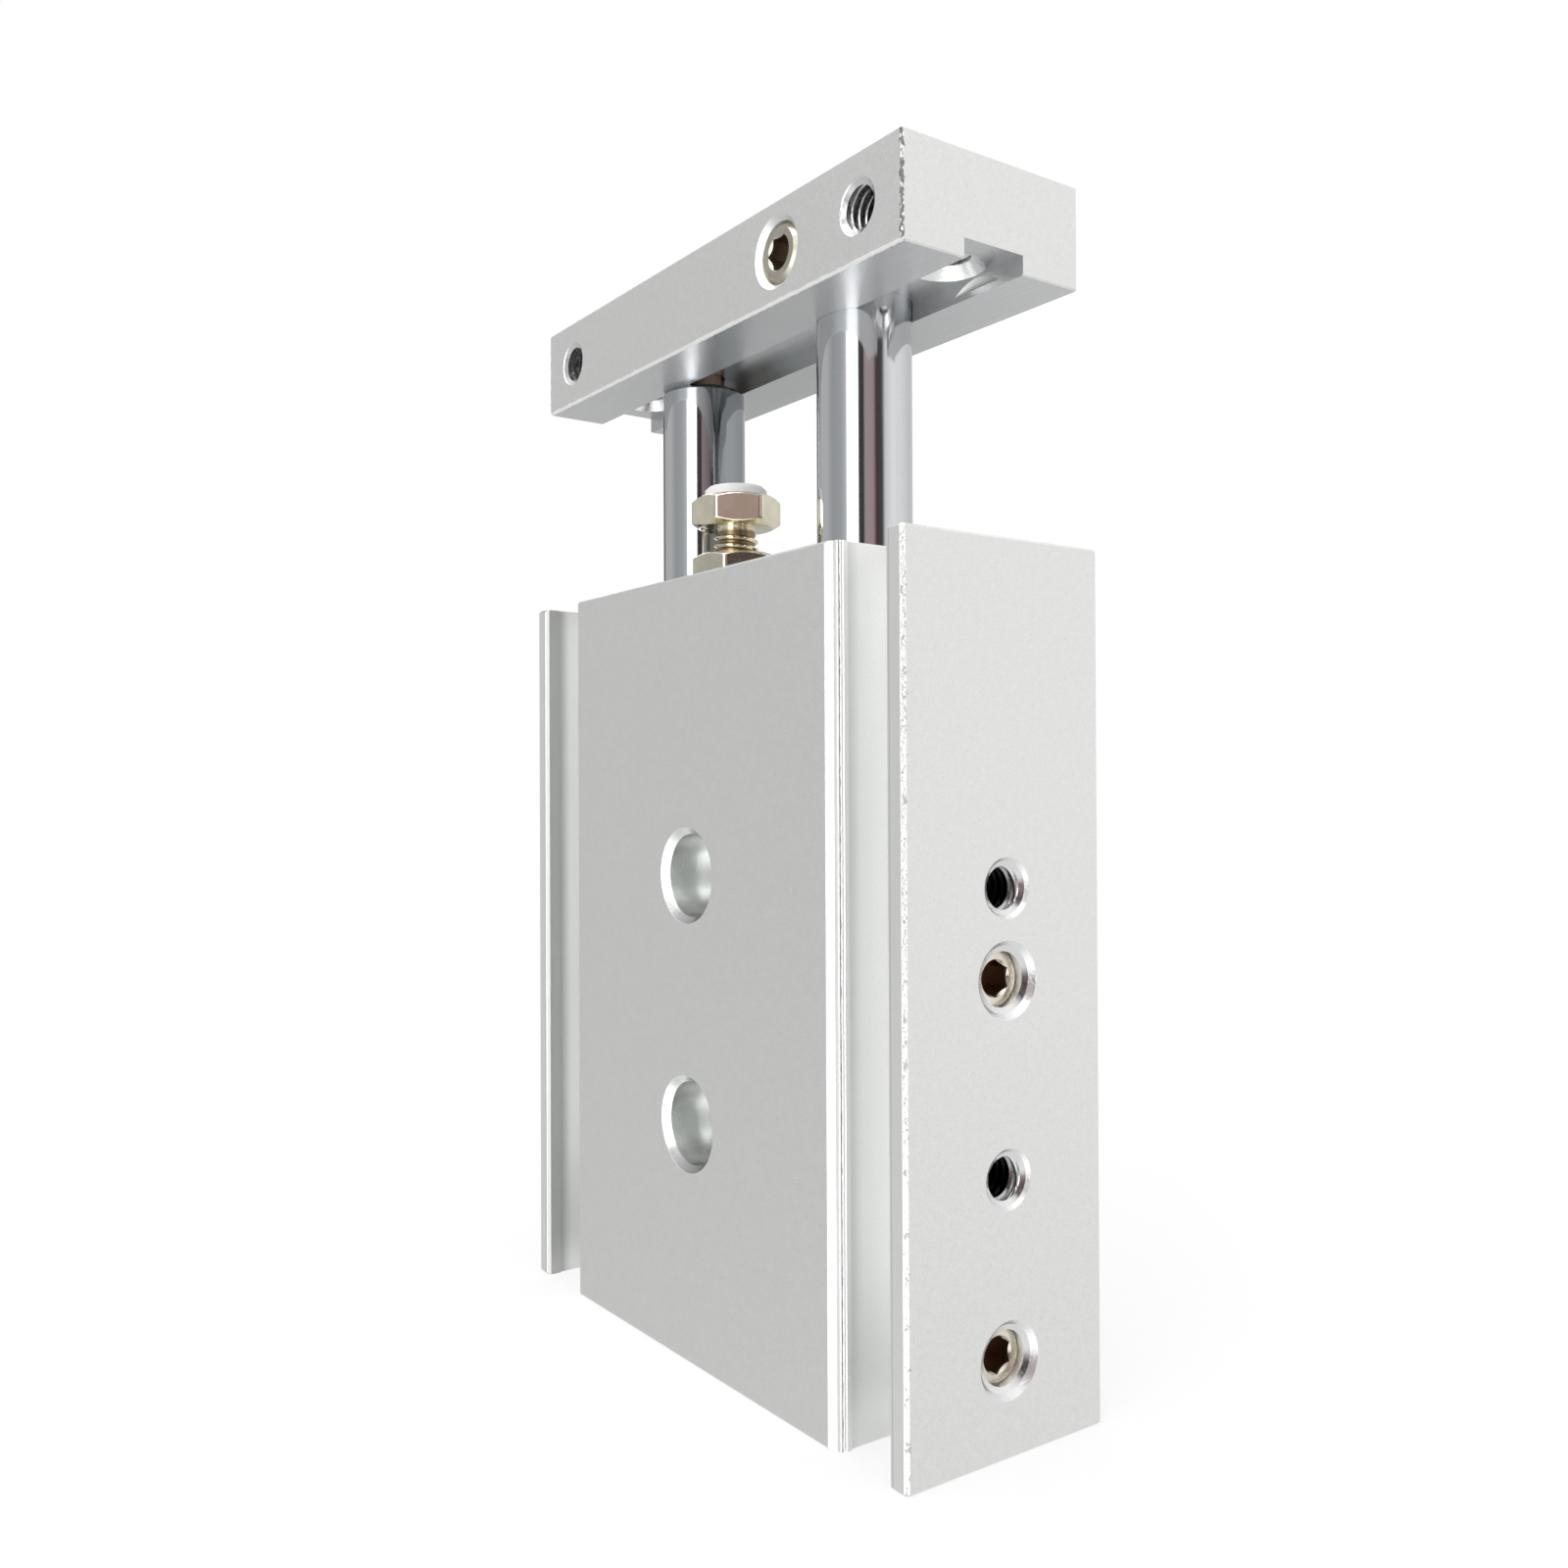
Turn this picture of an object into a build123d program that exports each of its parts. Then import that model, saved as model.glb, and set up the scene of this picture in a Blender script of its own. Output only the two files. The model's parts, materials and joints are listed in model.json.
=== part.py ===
from build123d import *
import math
import os

# Guided pneumatic cylinder with two rods, standing on its head end with the rods partly out.
# The frame has its origin at the centre of the housing's lower face, +Z along the rods,
# +X across both bores and the front, with the switch grooves, at -Y. All sizes are millimetres.

# Housing
BODY_WIDTH = 58.0
BODY_DEPTH = 20.0
BODY_LENGTH = 68.0
BODY_CORNER_CHAMFER = 0.3
BODY_END_CHAMFER = 0.2
PAD_WIDTH = 41.0
PAD_EDGE_CHAMFER = 0.5
PAD_LEDGE_WIDTH = 0.35
PAD_STEP_CHAMFER = 0.25
PAD_LINE_WIDTH = 0.25
PAD_LINE_DEPTH = 0.15
RIB_THICKNESS = 2.0
RIB_EDGE_CHAMFER = 0.3
GROOVE_DEPTH = 6.0
GROOVE_LIP_DEPTH = 1.4
GROOVE_LIP_STEP = 0.2

# Bores and rods
BORE_DIAMETER = 15.0
BORE_PITCH = 25.0
ROD_DIAMETER = 8.0
ROD_RUNNING_CLEARANCE = 0.03
ROD_COVER_CLEARANCE = 0.06
RETAINER_CLEARANCE = 0.09
SLIDING_CLEARANCE = 0.05
SEAT_CLEARANCE = 0.02

# Mounting holes of the housing
MOUNT_HOLE_DIAMETER = 4.3
COUNTERBORE_DIAMETER = 7.2
COUNTERBORE_DEPTH = 4.4
COUNTERBORE_CHAMFER = 0.6
MOUNT_HOLE_FROM_ROD_END = 26.0
MOUNT_HOLE_PITCH = 21.5
TAPPED_DIAMETER = 4.0
TAPPED_CHAMFER = 0.3
SIDE_TAPPED_DEPTH = 6.0

# Air ports
PORT_DIAMETER = 5.0
PORT_CHAMFER = 0.45
PORT_DEPTH = 5.5
AIRWAY_DIAMETER = 2.0
ROD_PORT_FROM_ROD_END = 32.8
HEAD_PORT_HEIGHT = 7.2
PLUG_LENGTH = 3.6
PLUG_RECESS = 1.3
PLUG_CHAMFER = 0.45
SCREW_EDGE_CHAMFER = 0.3
PLUG_HEX = 2.5
PLUG_HEX_DEPTH = 2.2
HEX_MOUTH_CHAMFER = 0.2

# Head covers and retaining rings
RING_THICKNESS = 1.0
RING_GROOVE_DEPTH = 0.4
RING_WIDTH = 1.5
RING_EAR_RADIUS = 1.3
RING_EAR_INSET = 0.78
RING_EAR_HOLE_DIAMETER = 1.2
RING_GAP_ANGLE = 40.0
HEAD_RING_HEIGHT = 1.2
HEAD_COVER_THICKNESS = 4.0
CORD_SEAL_WIDTH = 1.5
CORD_SEAL_DEPTH = 1.1

# Rod covers and rod seals
ROD_COVER_LENGTH = 28.8
ROD_RING_FROM_ROD_END = 2.2
ROD_COVER_SEAL_HEIGHT = 4.5
ROD_SEAL_DIAMETER = 12.0
ROD_SEAL_THICKNESS = 3.0
RETAINER_DIAMETER = 13.0
RETAINER_THICKNESS = 0.8
BUSH_LENGTH = 20.0
BUSH_WALL = 0.75

# Pistons
PISTON_LENGTH = 12.0
STROKE_LEFT = 3.7
PISTON_NOSE_LENGTH = 2.0
PISTON_NOSE_DIAMETER = 12.5
PISTON_SEAL_HEIGHT = 2.6
PISTON_SEAL_WIDTH = 2.4
PISTON_SEAL_DEPTH = 2.2
MAGNET_HEIGHT = 6.4
MAGNET_WIDTH = 2.4
MAGNET_DEPTH = 1.9
MAGNET_CLEARANCE = 0.1
CUSHION_DIAMETER = 12.0
CUSHION_THICKNESS = 1.4
ROD_SPIGOT_DIAMETER = 5.0
ROD_SPIGOT_RIVET_HEIGHT = 0.8
ROD_SPIGOT_RIVET_DIAMETER = 6.4
ROD_END_CHAMFER = 0.4

# End plate
PLATE_LENGTH = 56.0
PLATE_DEPTH = 18.0
PLATE_THICKNESS = 8.2
RODS_STAND_OUT = 20.3
PLATE_EDGE_CHAMFER = 0.15
CHANNEL_WIDTH = 6.0
CHANNEL_DEPTH = 1.5
PLATE_TAPPED_FROM_END = 5.1
PLATE_FRONT_TAPPED_DEPTH = 5.0
PLATE_FRONT_TAPPED_CHAMFER = 0.1
PLATE_UNDERSIDE_CHAMFER = 0.9
ROD_SOCKET_DEPTH = 6.4
SET_SCREW_DIAMETER = 5.0
SET_SCREW_RECESS = 0.25
SET_SCREW_HEX = 2.5
CAP_SCREW_DIAMETER = 4.0
CAP_HEAD_DIAMETER = 7.0
CAP_HEAD_HEIGHT = 4.0
CAP_HEAD_RECESS = 0.3
CAP_SCREW_LENGTH = 10.0
CAP_HEX = 3.0
CAP_HEX_DEPTH = 2.0
CAP_HOLE_CLEARANCE = 0.1
CAP_COUNTERBORE_DIAMETER = 7.6
ROD_TAPPING_DEPTH = 9.0

# Stroke adjuster
ADJUSTER_DEPTH_FROM_FRONT = 5.4
ADJUSTER_DIAMETER = 4.0
ADJUSTER_TAPPING_DEPTH = 14.0
ADJUSTER_ENGAGEMENT = 10.0
NUT_HEX = 7.0
NUT_HEIGHT = 2.2
NUT_TURN = 8.0
HEAD_HEX = 7.0
HEAD_HEIGHT = 2.7
ADJUSTER_GAP = 2.4
BUMPER_DIAMETER = 5.5
BUMPER_STAND_OUT = 0.9
BUMPER_STEM_DIAMETER = 2.5
BUMPER_STEM_LENGTH = 2.0
BUMPER_CHAMFER = 0.3

# Shapes of the cutting tools
AIR = 1.0
DRILL_POINT_HALF_ANGLE = 59.0
DRILL_POINT_FLAT = 0.02
HEX_BEVEL_ANGLE = 30.0
HEX_CORNERS_TO_FLATS = 2 / math.sqrt(3)

# Values that follow from the sizes above
ROD_X = BORE_PITCH / 2
ROD_RADIUS = ROD_DIAMETER / 2
FRONT_Y = -BODY_DEPTH / 2
MOUNT_HOLE_HEIGHTS = (
    BODY_LENGTH - MOUNT_HOLE_FROM_ROD_END,
    BODY_LENGTH - MOUNT_HOLE_FROM_ROD_END - MOUNT_HOLE_PITCH,
)
PORT_HEIGHTS = (BODY_LENGTH - ROD_PORT_FROM_ROD_END, HEAD_PORT_HEIGHT)
HEAD_COVER_HEIGHT = HEAD_RING_HEIGHT + RING_THICKNESS
ROD_RING_HEIGHT = BODY_LENGTH - ROD_RING_FROM_ROD_END
ROD_COVER_TOP = ROD_RING_HEIGHT
ROD_COVER_HEIGHT = ROD_COVER_TOP - ROD_COVER_LENGTH
SEAL_POCKET_DEPTH = ROD_SEAL_THICKNESS + RETAINER_THICKNESS
PISTON_TOP = ROD_COVER_HEIGHT - STROKE_LEFT - CUSHION_THICKNESS
PISTON_HEIGHT = PISTON_TOP - PISTON_LENGTH
PLATE_HEIGHT = BODY_LENGTH + RODS_STAND_OUT
PLATE_TOP = PLATE_HEIGHT + PLATE_THICKNESS
PLATE_FRONT_Y = -PLATE_DEPTH / 2
PLATE_MIDDLE = PLATE_HEIGHT + PLATE_THICKNESS / 2
PLATE_TAPPED_X = PLATE_LENGTH / 2 - PLATE_TAPPED_FROM_END
ADJUSTER_Y = FRONT_Y + ADJUSTER_DEPTH_FROM_FRONT
ADJUSTER_HEAD_HEIGHT = BODY_LENGTH + NUT_HEIGHT + ADJUSTER_GAP

# Turns that point a tool made along +Z out of each side
TO_FRONT = Rot(90, 0, 0)
TO_BACK = Rot(-90, 0, 0)
TO_RIGHT = Rot(0, 90, 0)
TO_LEFT = Rot(0, -90, 0)
TO_BOTTOM = Rot(180, 0, 0)

SIDES = {"left": -1, "right": 1}
STAND = (Align.CENTER, Align.CENTER, Align.MIN)
HANG = (Align.CENTER, Align.CENTER, Align.MAX)


def post(diameter, low, high, x=0.0, y=0.0):
    """Round solid along Z between two heights."""
    return Pos(x, y, low) * Cylinder(diameter / 2, high - low, align=STAND)


def ring(outer, inner, low, high, x=0.0, y=0.0):
    """Flat round ring along Z."""
    hole = post(inner, low - AIR, high + AIR, x, y)
    return post(outer, low, high, x, y) - hole


def drill(diameter, depth, chamfer=0.0, tip=False):
    """Cutting tool that enters a face at z = 0 from above and goes down by its depth."""
    tool = Pos(0, 0, AIR) * Cylinder(diameter / 2, depth + AIR, align=HANG)
    if tip:
        point = diameter / 2 / math.tan(math.radians(DRILL_POINT_HALF_ANGLE))
        cone = Cone(diameter / 2, DRILL_POINT_FLAT / 2, point, align=STAND)
        tool += Pos(0, 0, -depth) * TO_BOTTOM * cone
    if chamfer:
        mouth = Cone(diameter / 2, diameter / 2 + chamfer + AIR, chamfer + AIR, align=STAND)
        tool += Pos(0, 0, -chamfer) * mouth
    return tool


def hexagon(across_flats, height):
    """Six-sided bar along Z, from z = 0 up, with a flat towards +Y."""
    outline = RegularPolygon(across_flats / 2, 6, major_radius=False)
    return extrude(outline, height)


def hex_socket(across_flats, depth, mouth_chamfer):
    """Cutting tool of a hexagon socket that opens at z = 0."""
    tool = Pos(0, 0, -depth) * hexagon(across_flats, depth + AIR)
    corner = across_flats / 2 * HEX_CORNERS_TO_FLATS
    mouth = Cone(corner - mouth_chamfer, corner + AIR, mouth_chamfer + AIR, align=STAND)
    return tool + Pos(0, 0, -mouth_chamfer) * mouth


def bevelled_hexagon(across_flats, height):
    """Hexagon of a nut or bolt head whose corners are turned off at a slope at both ends."""
    corner = across_flats / 2 * HEX_CORNERS_TO_FLATS
    rise = (corner - across_flats / 2) * math.tan(math.radians(HEX_BEVEL_ANGLE))
    foot = Cone(across_flats / 2, corner, rise, align=STAND)
    middle = post(2 * corner, rise, height - rise)
    cap = Pos(0, 0, height - rise) * Cone(corner, across_flats / 2, rise, align=STAND)
    return hexagon(across_flats, height) & (foot + middle + cap)


def groove_profile(side):
    """Cross-section of one switch groove, wider behind its two lips than at its mouth. The pad's edge
    has a chamfer, a ledge, a second chamfer and a fine line. The rib's edge is broken."""
    pad_face_end = PAD_WIDTH / 2 - PAD_EDGE_CHAMFER
    ledge_end = PAD_WIDTH / 2 + PAD_LEDGE_WIDTH
    pad_lip = ledge_end + PAD_STEP_CHAMFER
    rib_lip = BODY_WIDTH / 2 - RIB_THICKNESS
    ledge_y = FRONT_Y + PAD_EDGE_CHAMFER
    step_y = ledge_y + PAD_STEP_CHAMFER
    lip_y = FRONT_Y + GROOVE_LIP_DEPTH
    floor_y = FRONT_Y + GROOVE_DEPTH
    corners = [
        (pad_face_end, FRONT_Y - AIR),
        (pad_face_end, FRONT_Y),
        (PAD_WIDTH / 2, ledge_y),
        (ledge_end, ledge_y),
        (pad_lip, step_y),
        (pad_lip - PAD_LINE_DEPTH, step_y + PAD_LINE_WIDTH / 2),
        (pad_lip, step_y + PAD_LINE_WIDTH),
        (pad_lip, lip_y),
        (pad_lip - GROOVE_LIP_STEP, lip_y),
        (pad_lip - GROOVE_LIP_STEP, floor_y),
        (rib_lip + GROOVE_LIP_STEP, floor_y),
        (rib_lip + GROOVE_LIP_STEP, lip_y),
        (rib_lip, lip_y),
        (rib_lip, FRONT_Y + RIB_EDGE_CHAMFER),
        (rib_lip + RIB_EDGE_CHAMFER, FRONT_Y),
        (rib_lip + RIB_EDGE_CHAMFER, FRONT_Y - AIR),
    ]
    outline = [(side * x, y) for x, y in corners]
    return Polygon(*outline[::-side], align=None)


def housing_blank():
    """Bar with broken edges and the two switch grooves along its front."""
    outline = Rectangle(BODY_WIDTH, BODY_DEPTH)
    outline = chamfer(outline.vertices(), BODY_CORNER_CHAMFER)
    blank = extrude(outline, BODY_LENGTH)
    ends = blank.faces().sort_by(Axis.Z)
    blank = chamfer(ends[0].edges() + ends[-1].edges(), BODY_END_CHAMFER)
    for side in SIDES.values():
        blank -= Pos(0, 0, -AIR) * extrude(groove_profile(side), BODY_LENGTH + 2 * AIR)
    return blank


def ring_groove(x, low):
    """Cutting tool of the groove that holds a retaining ring."""
    return post(BORE_DIAMETER + 2 * RING_GROOVE_DEPTH, low, low + RING_THICKNESS, x)


def make_housing():
    """Housing with both bores, the airways, the ports and every mounting hole."""
    housing = housing_blank()
    for side in SIDES.values():
        x = side * ROD_X
        housing -= post(BORE_DIAMETER, -AIR, BODY_LENGTH + AIR, x)
        housing -= ring_groove(x, HEAD_RING_HEIGHT)
        housing -= ring_groove(x, ROD_RING_HEIGHT)
    through = post(MOUNT_HOLE_DIAMETER, -BODY_DEPTH, BODY_DEPTH)
    counterbore = drill(COUNTERBORE_DIAMETER, COUNTERBORE_DEPTH, COUNTERBORE_CHAMFER)
    side_tapping = drill(TAPPED_DIAMETER, SIDE_TAPPED_DEPTH, TAPPED_CHAMFER, tip=True)
    for height in MOUNT_HOLE_HEIGHTS:
        housing -= Pos(0, 0, height) * TO_FRONT * through
        housing -= Pos(0, FRONT_Y, height) * TO_FRONT * counterbore
        housing -= Pos(0, -FRONT_Y, height) * TO_BACK * counterbore
        housing -= Pos(BODY_WIDTH / 2, 0, height) * TO_RIGHT * side_tapping
        housing -= Pos(-BODY_WIDTH / 2, 0, height) * TO_LEFT * side_tapping
    airway_half = BODY_WIDTH / 2 - PORT_DEPTH + AIR
    airway = post(AIRWAY_DIAMETER, -airway_half, airway_half)
    port = drill(PORT_DIAMETER, PORT_DEPTH, PORT_CHAMFER)
    for height in PORT_HEIGHTS:
        housing -= Pos(0, 0, height) * TO_RIGHT * airway
        housing -= Pos(BODY_WIDTH / 2, 0, height) * TO_RIGHT * port
        housing -= Pos(-BODY_WIDTH / 2, 0, height) * TO_LEFT * port
    adjuster_hole = drill(ADJUSTER_DIAMETER, ADJUSTER_TAPPING_DEPTH, TAPPED_CHAMFER, tip=True)
    housing -= Pos(0, ADJUSTER_Y, BODY_LENGTH) * adjuster_hole
    return housing


def retaining_ring(x, low):
    """Internal retaining ring with a gap and two eared ends."""
    outer = BORE_DIAMETER + 2 * RING_GROOVE_DEPTH - 2 * SEAT_CLEARANCE
    inner = outer - 2 * RING_WIDTH
    low_face = low + SEAT_CLEARANCE
    high_face = low + RING_THICKNESS - SEAT_CLEARANCE
    half_gap = math.radians(RING_GAP_ANGLE / 2)
    reach = BORE_DIAMETER
    half_width = reach * math.tan(half_gap)
    wedge = Polygon((0, 0), (half_width, reach), (-half_width, reach), align=None)
    body = ring(outer, inner, low_face, high_face) - Pos(0, 0, low_face - AIR) * extrude(wedge, high_face)
    ear_reach = inner / 2 - RING_EAR_INSET
    ear_turn = half_gap + RING_EAR_RADIUS / ear_reach
    for turn in (-ear_turn, ear_turn):
        ear_x = ear_reach * math.sin(turn)
        ear_y = ear_reach * math.cos(turn)
        body += post(2 * RING_EAR_RADIUS, low_face, high_face, ear_x, ear_y)
        body -= post(RING_EAR_HOLE_DIAMETER, low_face - AIR, high_face + AIR, ear_x, ear_y)
    return Pos(x, 0, 0) * body


def cord_seal(x, low):
    """Round-section sealing ring in a groove of a cover, pressed flat against the bore."""
    outer = BORE_DIAMETER - 2 * SEAT_CLEARANCE
    inner = BORE_DIAMETER - 2 * CORD_SEAL_DEPTH + 2 * SEAT_CLEARANCE
    return ring(outer, inner, low + SEAT_CLEARANCE, low + CORD_SEAL_WIDTH - SEAT_CLEARANCE, x)


def cord_seal_groove(x, low):
    """Cutting tool of the groove that such a sealing ring sits in."""
    return ring(BORE_DIAMETER + AIR, BORE_DIAMETER - 2 * CORD_SEAL_DEPTH, low, low + CORD_SEAL_WIDTH, x)


def make_head_cover(side):
    """Plug that closes the head end of one bore."""
    x = side * ROD_X
    top = HEAD_COVER_HEIGHT + HEAD_COVER_THICKNESS
    cover = post(BORE_DIAMETER - 2 * SEAT_CLEARANCE, HEAD_COVER_HEIGHT, top, x)
    groove_low = HEAD_COVER_HEIGHT + (HEAD_COVER_THICKNESS - CORD_SEAL_WIDTH) / 2
    return cover - cord_seal_groove(x, groove_low)


def make_head_seal(side):
    groove_low = HEAD_COVER_HEIGHT + (HEAD_COVER_THICKNESS - CORD_SEAL_WIDTH) / 2
    return cord_seal(side * ROD_X, groove_low)


def make_rod_cover(side):
    """Long cover that guides one rod, with room for its bush, its rod seal and the outer seal."""
    x = side * ROD_X
    cover = post(BORE_DIAMETER - 2 * SEAT_CLEARANCE, ROD_COVER_HEIGHT, ROD_COVER_TOP, x)
    cover -= post(ROD_DIAMETER + 2 * ROD_COVER_CLEARANCE, ROD_COVER_HEIGHT - AIR, ROD_COVER_TOP + AIR, x)
    bush_hole = ROD_DIAMETER + 2 * (BUSH_WALL + SEAT_CLEARANCE)
    cover -= post(bush_hole, ROD_COVER_HEIGHT - AIR, ROD_COVER_HEIGHT + BUSH_LENGTH, x)
    seal_floor = ROD_COVER_TOP - SEAL_POCKET_DEPTH
    cover -= post(ROD_SEAL_DIAMETER + 2 * SEAT_CLEARANCE, seal_floor, ROD_COVER_TOP + AIR, x)
    retainer_floor = ROD_COVER_TOP - RETAINER_THICKNESS
    cover -= post(RETAINER_DIAMETER + 2 * SEAT_CLEARANCE, retainer_floor, ROD_COVER_TOP + AIR, x)
    return cover - cord_seal_groove(x, ROD_COVER_HEIGHT + ROD_COVER_SEAL_HEIGHT)


def make_bush(side):
    """Thin dry bush that the rod slides in."""
    outer = ROD_DIAMETER + 2 * BUSH_WALL
    inner = ROD_DIAMETER + 2 * ROD_RUNNING_CLEARANCE
    return ring(outer, inner, ROD_COVER_HEIGHT, ROD_COVER_HEIGHT + BUSH_LENGTH, side * ROD_X)


def make_rod_cover_seal(side):
    return cord_seal(side * ROD_X, ROD_COVER_HEIGHT + ROD_COVER_SEAL_HEIGHT)


def make_rod_seal(side):
    """Lip seal that wipes the rod, with a hollow in its inner face."""
    x = side * ROD_X
    low = ROD_COVER_TOP - SEAL_POCKET_DEPTH
    high = low + ROD_SEAL_THICKNESS
    seal = ring(ROD_SEAL_DIAMETER, ROD_DIAMETER + 2 * ROD_RUNNING_CLEARANCE, low, high, x)
    lip = (ROD_SEAL_DIAMETER - ROD_DIAMETER) / 2
    hollow_outer = ROD_SEAL_DIAMETER - lip / 2
    hollow_inner = ROD_DIAMETER + lip / 2
    return seal - ring(hollow_outer, hollow_inner, low - AIR, low + ROD_SEAL_THICKNESS / 2, x)


def make_seal_retainer(side):
    """Flat washer that keeps the rod seal in its pocket."""
    inner = ROD_DIAMETER + 2 * RETAINER_CLEARANCE
    low = ROD_COVER_TOP - RETAINER_THICKNESS
    return ring(RETAINER_DIAMETER, inner, low, ROD_COVER_TOP, side * ROD_X)


def make_piston(side):
    """Piston with a nose at the rod side, a seal groove, a magnet groove and a hole for the rod."""
    x = side * ROD_X
    skirt = BORE_DIAMETER - 2 * SLIDING_CLEARANCE
    nose_floor = PISTON_TOP - PISTON_NOSE_LENGTH
    piston = post(skirt, PISTON_HEIGHT, nose_floor, x)
    piston += post(PISTON_NOSE_DIAMETER, nose_floor, PISTON_TOP, x)
    around = BORE_DIAMETER + AIR
    seal_low = PISTON_HEIGHT + PISTON_SEAL_HEIGHT
    piston -= ring(around, skirt - 2 * PISTON_SEAL_DEPTH, seal_low, seal_low + PISTON_SEAL_WIDTH, x)
    magnet_low = PISTON_HEIGHT + MAGNET_HEIGHT
    piston -= ring(around, skirt - 2 * MAGNET_DEPTH, magnet_low, magnet_low + MAGNET_WIDTH, x)
    piston -= post(ROD_SPIGOT_DIAMETER + 2 * SEAT_CLEARANCE, PISTON_HEIGHT - AIR, PISTON_TOP + AIR, x)
    rivet_space = ROD_SPIGOT_RIVET_DIAMETER + 2 * SEAT_CLEARANCE
    rivet_top = PISTON_HEIGHT + ROD_SPIGOT_RIVET_HEIGHT + SEAT_CLEARANCE
    return piston - post(rivet_space, PISTON_HEIGHT - AIR, rivet_top, x)


def make_piston_seal(side):
    """Lip seal ring of the piston, with a shallow valley between its two lips."""
    x = side * ROD_X
    low = PISTON_HEIGHT + PISTON_SEAL_HEIGHT + SEAT_CLEARANCE
    high = low + PISTON_SEAL_WIDTH - 2 * SEAT_CLEARANCE
    outer = BORE_DIAMETER - 2 * SEAT_CLEARANCE
    inner = BORE_DIAMETER - 2 * SLIDING_CLEARANCE - 2 * PISTON_SEAL_DEPTH + 2 * SEAT_CLEARANCE
    seal = ring(outer, inner, low, high, x)
    lip = (high - low) / 3
    return seal - ring(outer + AIR, outer - lip, low + lip, high - lip, x)


def make_magnet(side):
    x = side * ROD_X
    low = PISTON_HEIGHT + MAGNET_HEIGHT + SEAT_CLEARANCE
    high = low + MAGNET_WIDTH - 2 * SEAT_CLEARANCE
    outer = BORE_DIAMETER - 2 * MAGNET_CLEARANCE
    inner = BORE_DIAMETER - 2 * SLIDING_CLEARANCE - 2 * MAGNET_DEPTH + 2 * SEAT_CLEARANCE
    return ring(outer, inner, low, high, x)


def make_cushion(side):
    """Soft washer on the piston's nose that meets the rod cover at full stroke."""
    inner = ROD_DIAMETER + 2 * SEAT_CLEARANCE
    return ring(CUSHION_DIAMETER, inner, PISTON_TOP, PISTON_TOP + CUSHION_THICKNESS, side * ROD_X)


def rod_blank(x, top):
    """Ground rod with a riveted spigot for its piston and a broken edge at its top."""
    rod = post(ROD_DIAMETER, PISTON_TOP, top, x)
    rod = chamfer(rod.edges().group_by(Axis.Z)[-1], ROD_END_CHAMFER)
    rod += post(ROD_SPIGOT_DIAMETER, PISTON_HEIGHT, PISTON_TOP, x)
    return rod + post(ROD_SPIGOT_RIVET_DIAMETER, PISTON_HEIGHT, PISTON_HEIGHT + ROD_SPIGOT_RIVET_HEIGHT, x)


def make_rod_right():
    """Rod that enters a socket of the plate, where the set screw clamps it."""
    return rod_blank(ROD_X, PLATE_HEIGHT + ROD_SOCKET_DEPTH - SEAT_CLEARANCE)


def make_rod_left():
    """Rod that meets the plate's underside, tapped for the cap screw."""
    tapping = drill(CAP_SCREW_DIAMETER, ROD_TAPPING_DEPTH, TAPPED_CHAMFER, tip=True)
    return rod_blank(-ROD_X, PLATE_HEIGHT) - Pos(-ROD_X, 0, PLATE_HEIGHT) * tapping


def make_end_plate():
    """Tool plate with its underside channel, rod socket, screw holes and tapped mounting holes."""
    plate = Pos(0, 0, PLATE_HEIGHT) * Box(PLATE_LENGTH, PLATE_DEPTH, PLATE_THICKNESS, align=STAND)
    plate = chamfer(plate.edges(), PLATE_EDGE_CHAMFER)
    channel = Box(PLATE_LENGTH + 2 * AIR, CHANNEL_WIDTH, CHANNEL_DEPTH + AIR, align=STAND)
    plate -= Pos(0, 0, PLATE_HEIGHT - AIR) * channel
    socket = drill(ROD_DIAMETER + 2 * SEAT_CLEARANCE, ROD_SOCKET_DEPTH)
    plate -= Pos(ROD_X, 0, PLATE_HEIGHT) * TO_BOTTOM * socket
    screw_reach = PLATE_DEPTH / 2 - ROD_RADIUS + AIR
    set_screw_hole = drill(SET_SCREW_DIAMETER, screw_reach, PORT_CHAMFER)
    plate -= Pos(ROD_X, PLATE_FRONT_Y, PLATE_MIDDLE) * TO_FRONT * set_screw_hole
    front_tapping = drill(TAPPED_DIAMETER, PLATE_FRONT_TAPPED_DEPTH, PLATE_FRONT_TAPPED_CHAMFER, tip=True)
    top_tapping = drill(TAPPED_DIAMETER, PLATE_THICKNESS + AIR, TAPPED_CHAMFER)
    channel_floor = PLATE_HEIGHT + CHANNEL_DEPTH
    underside_mouth = drill(TAPPED_DIAMETER, PLATE_UNDERSIDE_CHAMFER, PLATE_UNDERSIDE_CHAMFER)
    for side in SIDES.values():
        x = side * PLATE_TAPPED_X
        plate -= Pos(x, PLATE_FRONT_Y, PLATE_MIDDLE) * TO_FRONT * front_tapping
        plate -= Pos(x, 0, PLATE_TOP) * top_tapping
        plate -= Pos(x, 0, channel_floor) * TO_BOTTOM * underside_mouth
    cap_counterbore = drill(CAP_COUNTERBORE_DIAMETER, CAP_HEAD_HEIGHT + CAP_HEAD_RECESS, TAPPED_CHAMFER)
    plate -= Pos(-ROD_X, 0, PLATE_TOP) * cap_counterbore
    cap_hole = drill(CAP_SCREW_DIAMETER + 2 * CAP_HOLE_CLEARANCE, PLATE_THICKNESS + AIR)
    return plate - Pos(-ROD_X, 0, PLATE_TOP) * cap_hole


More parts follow.
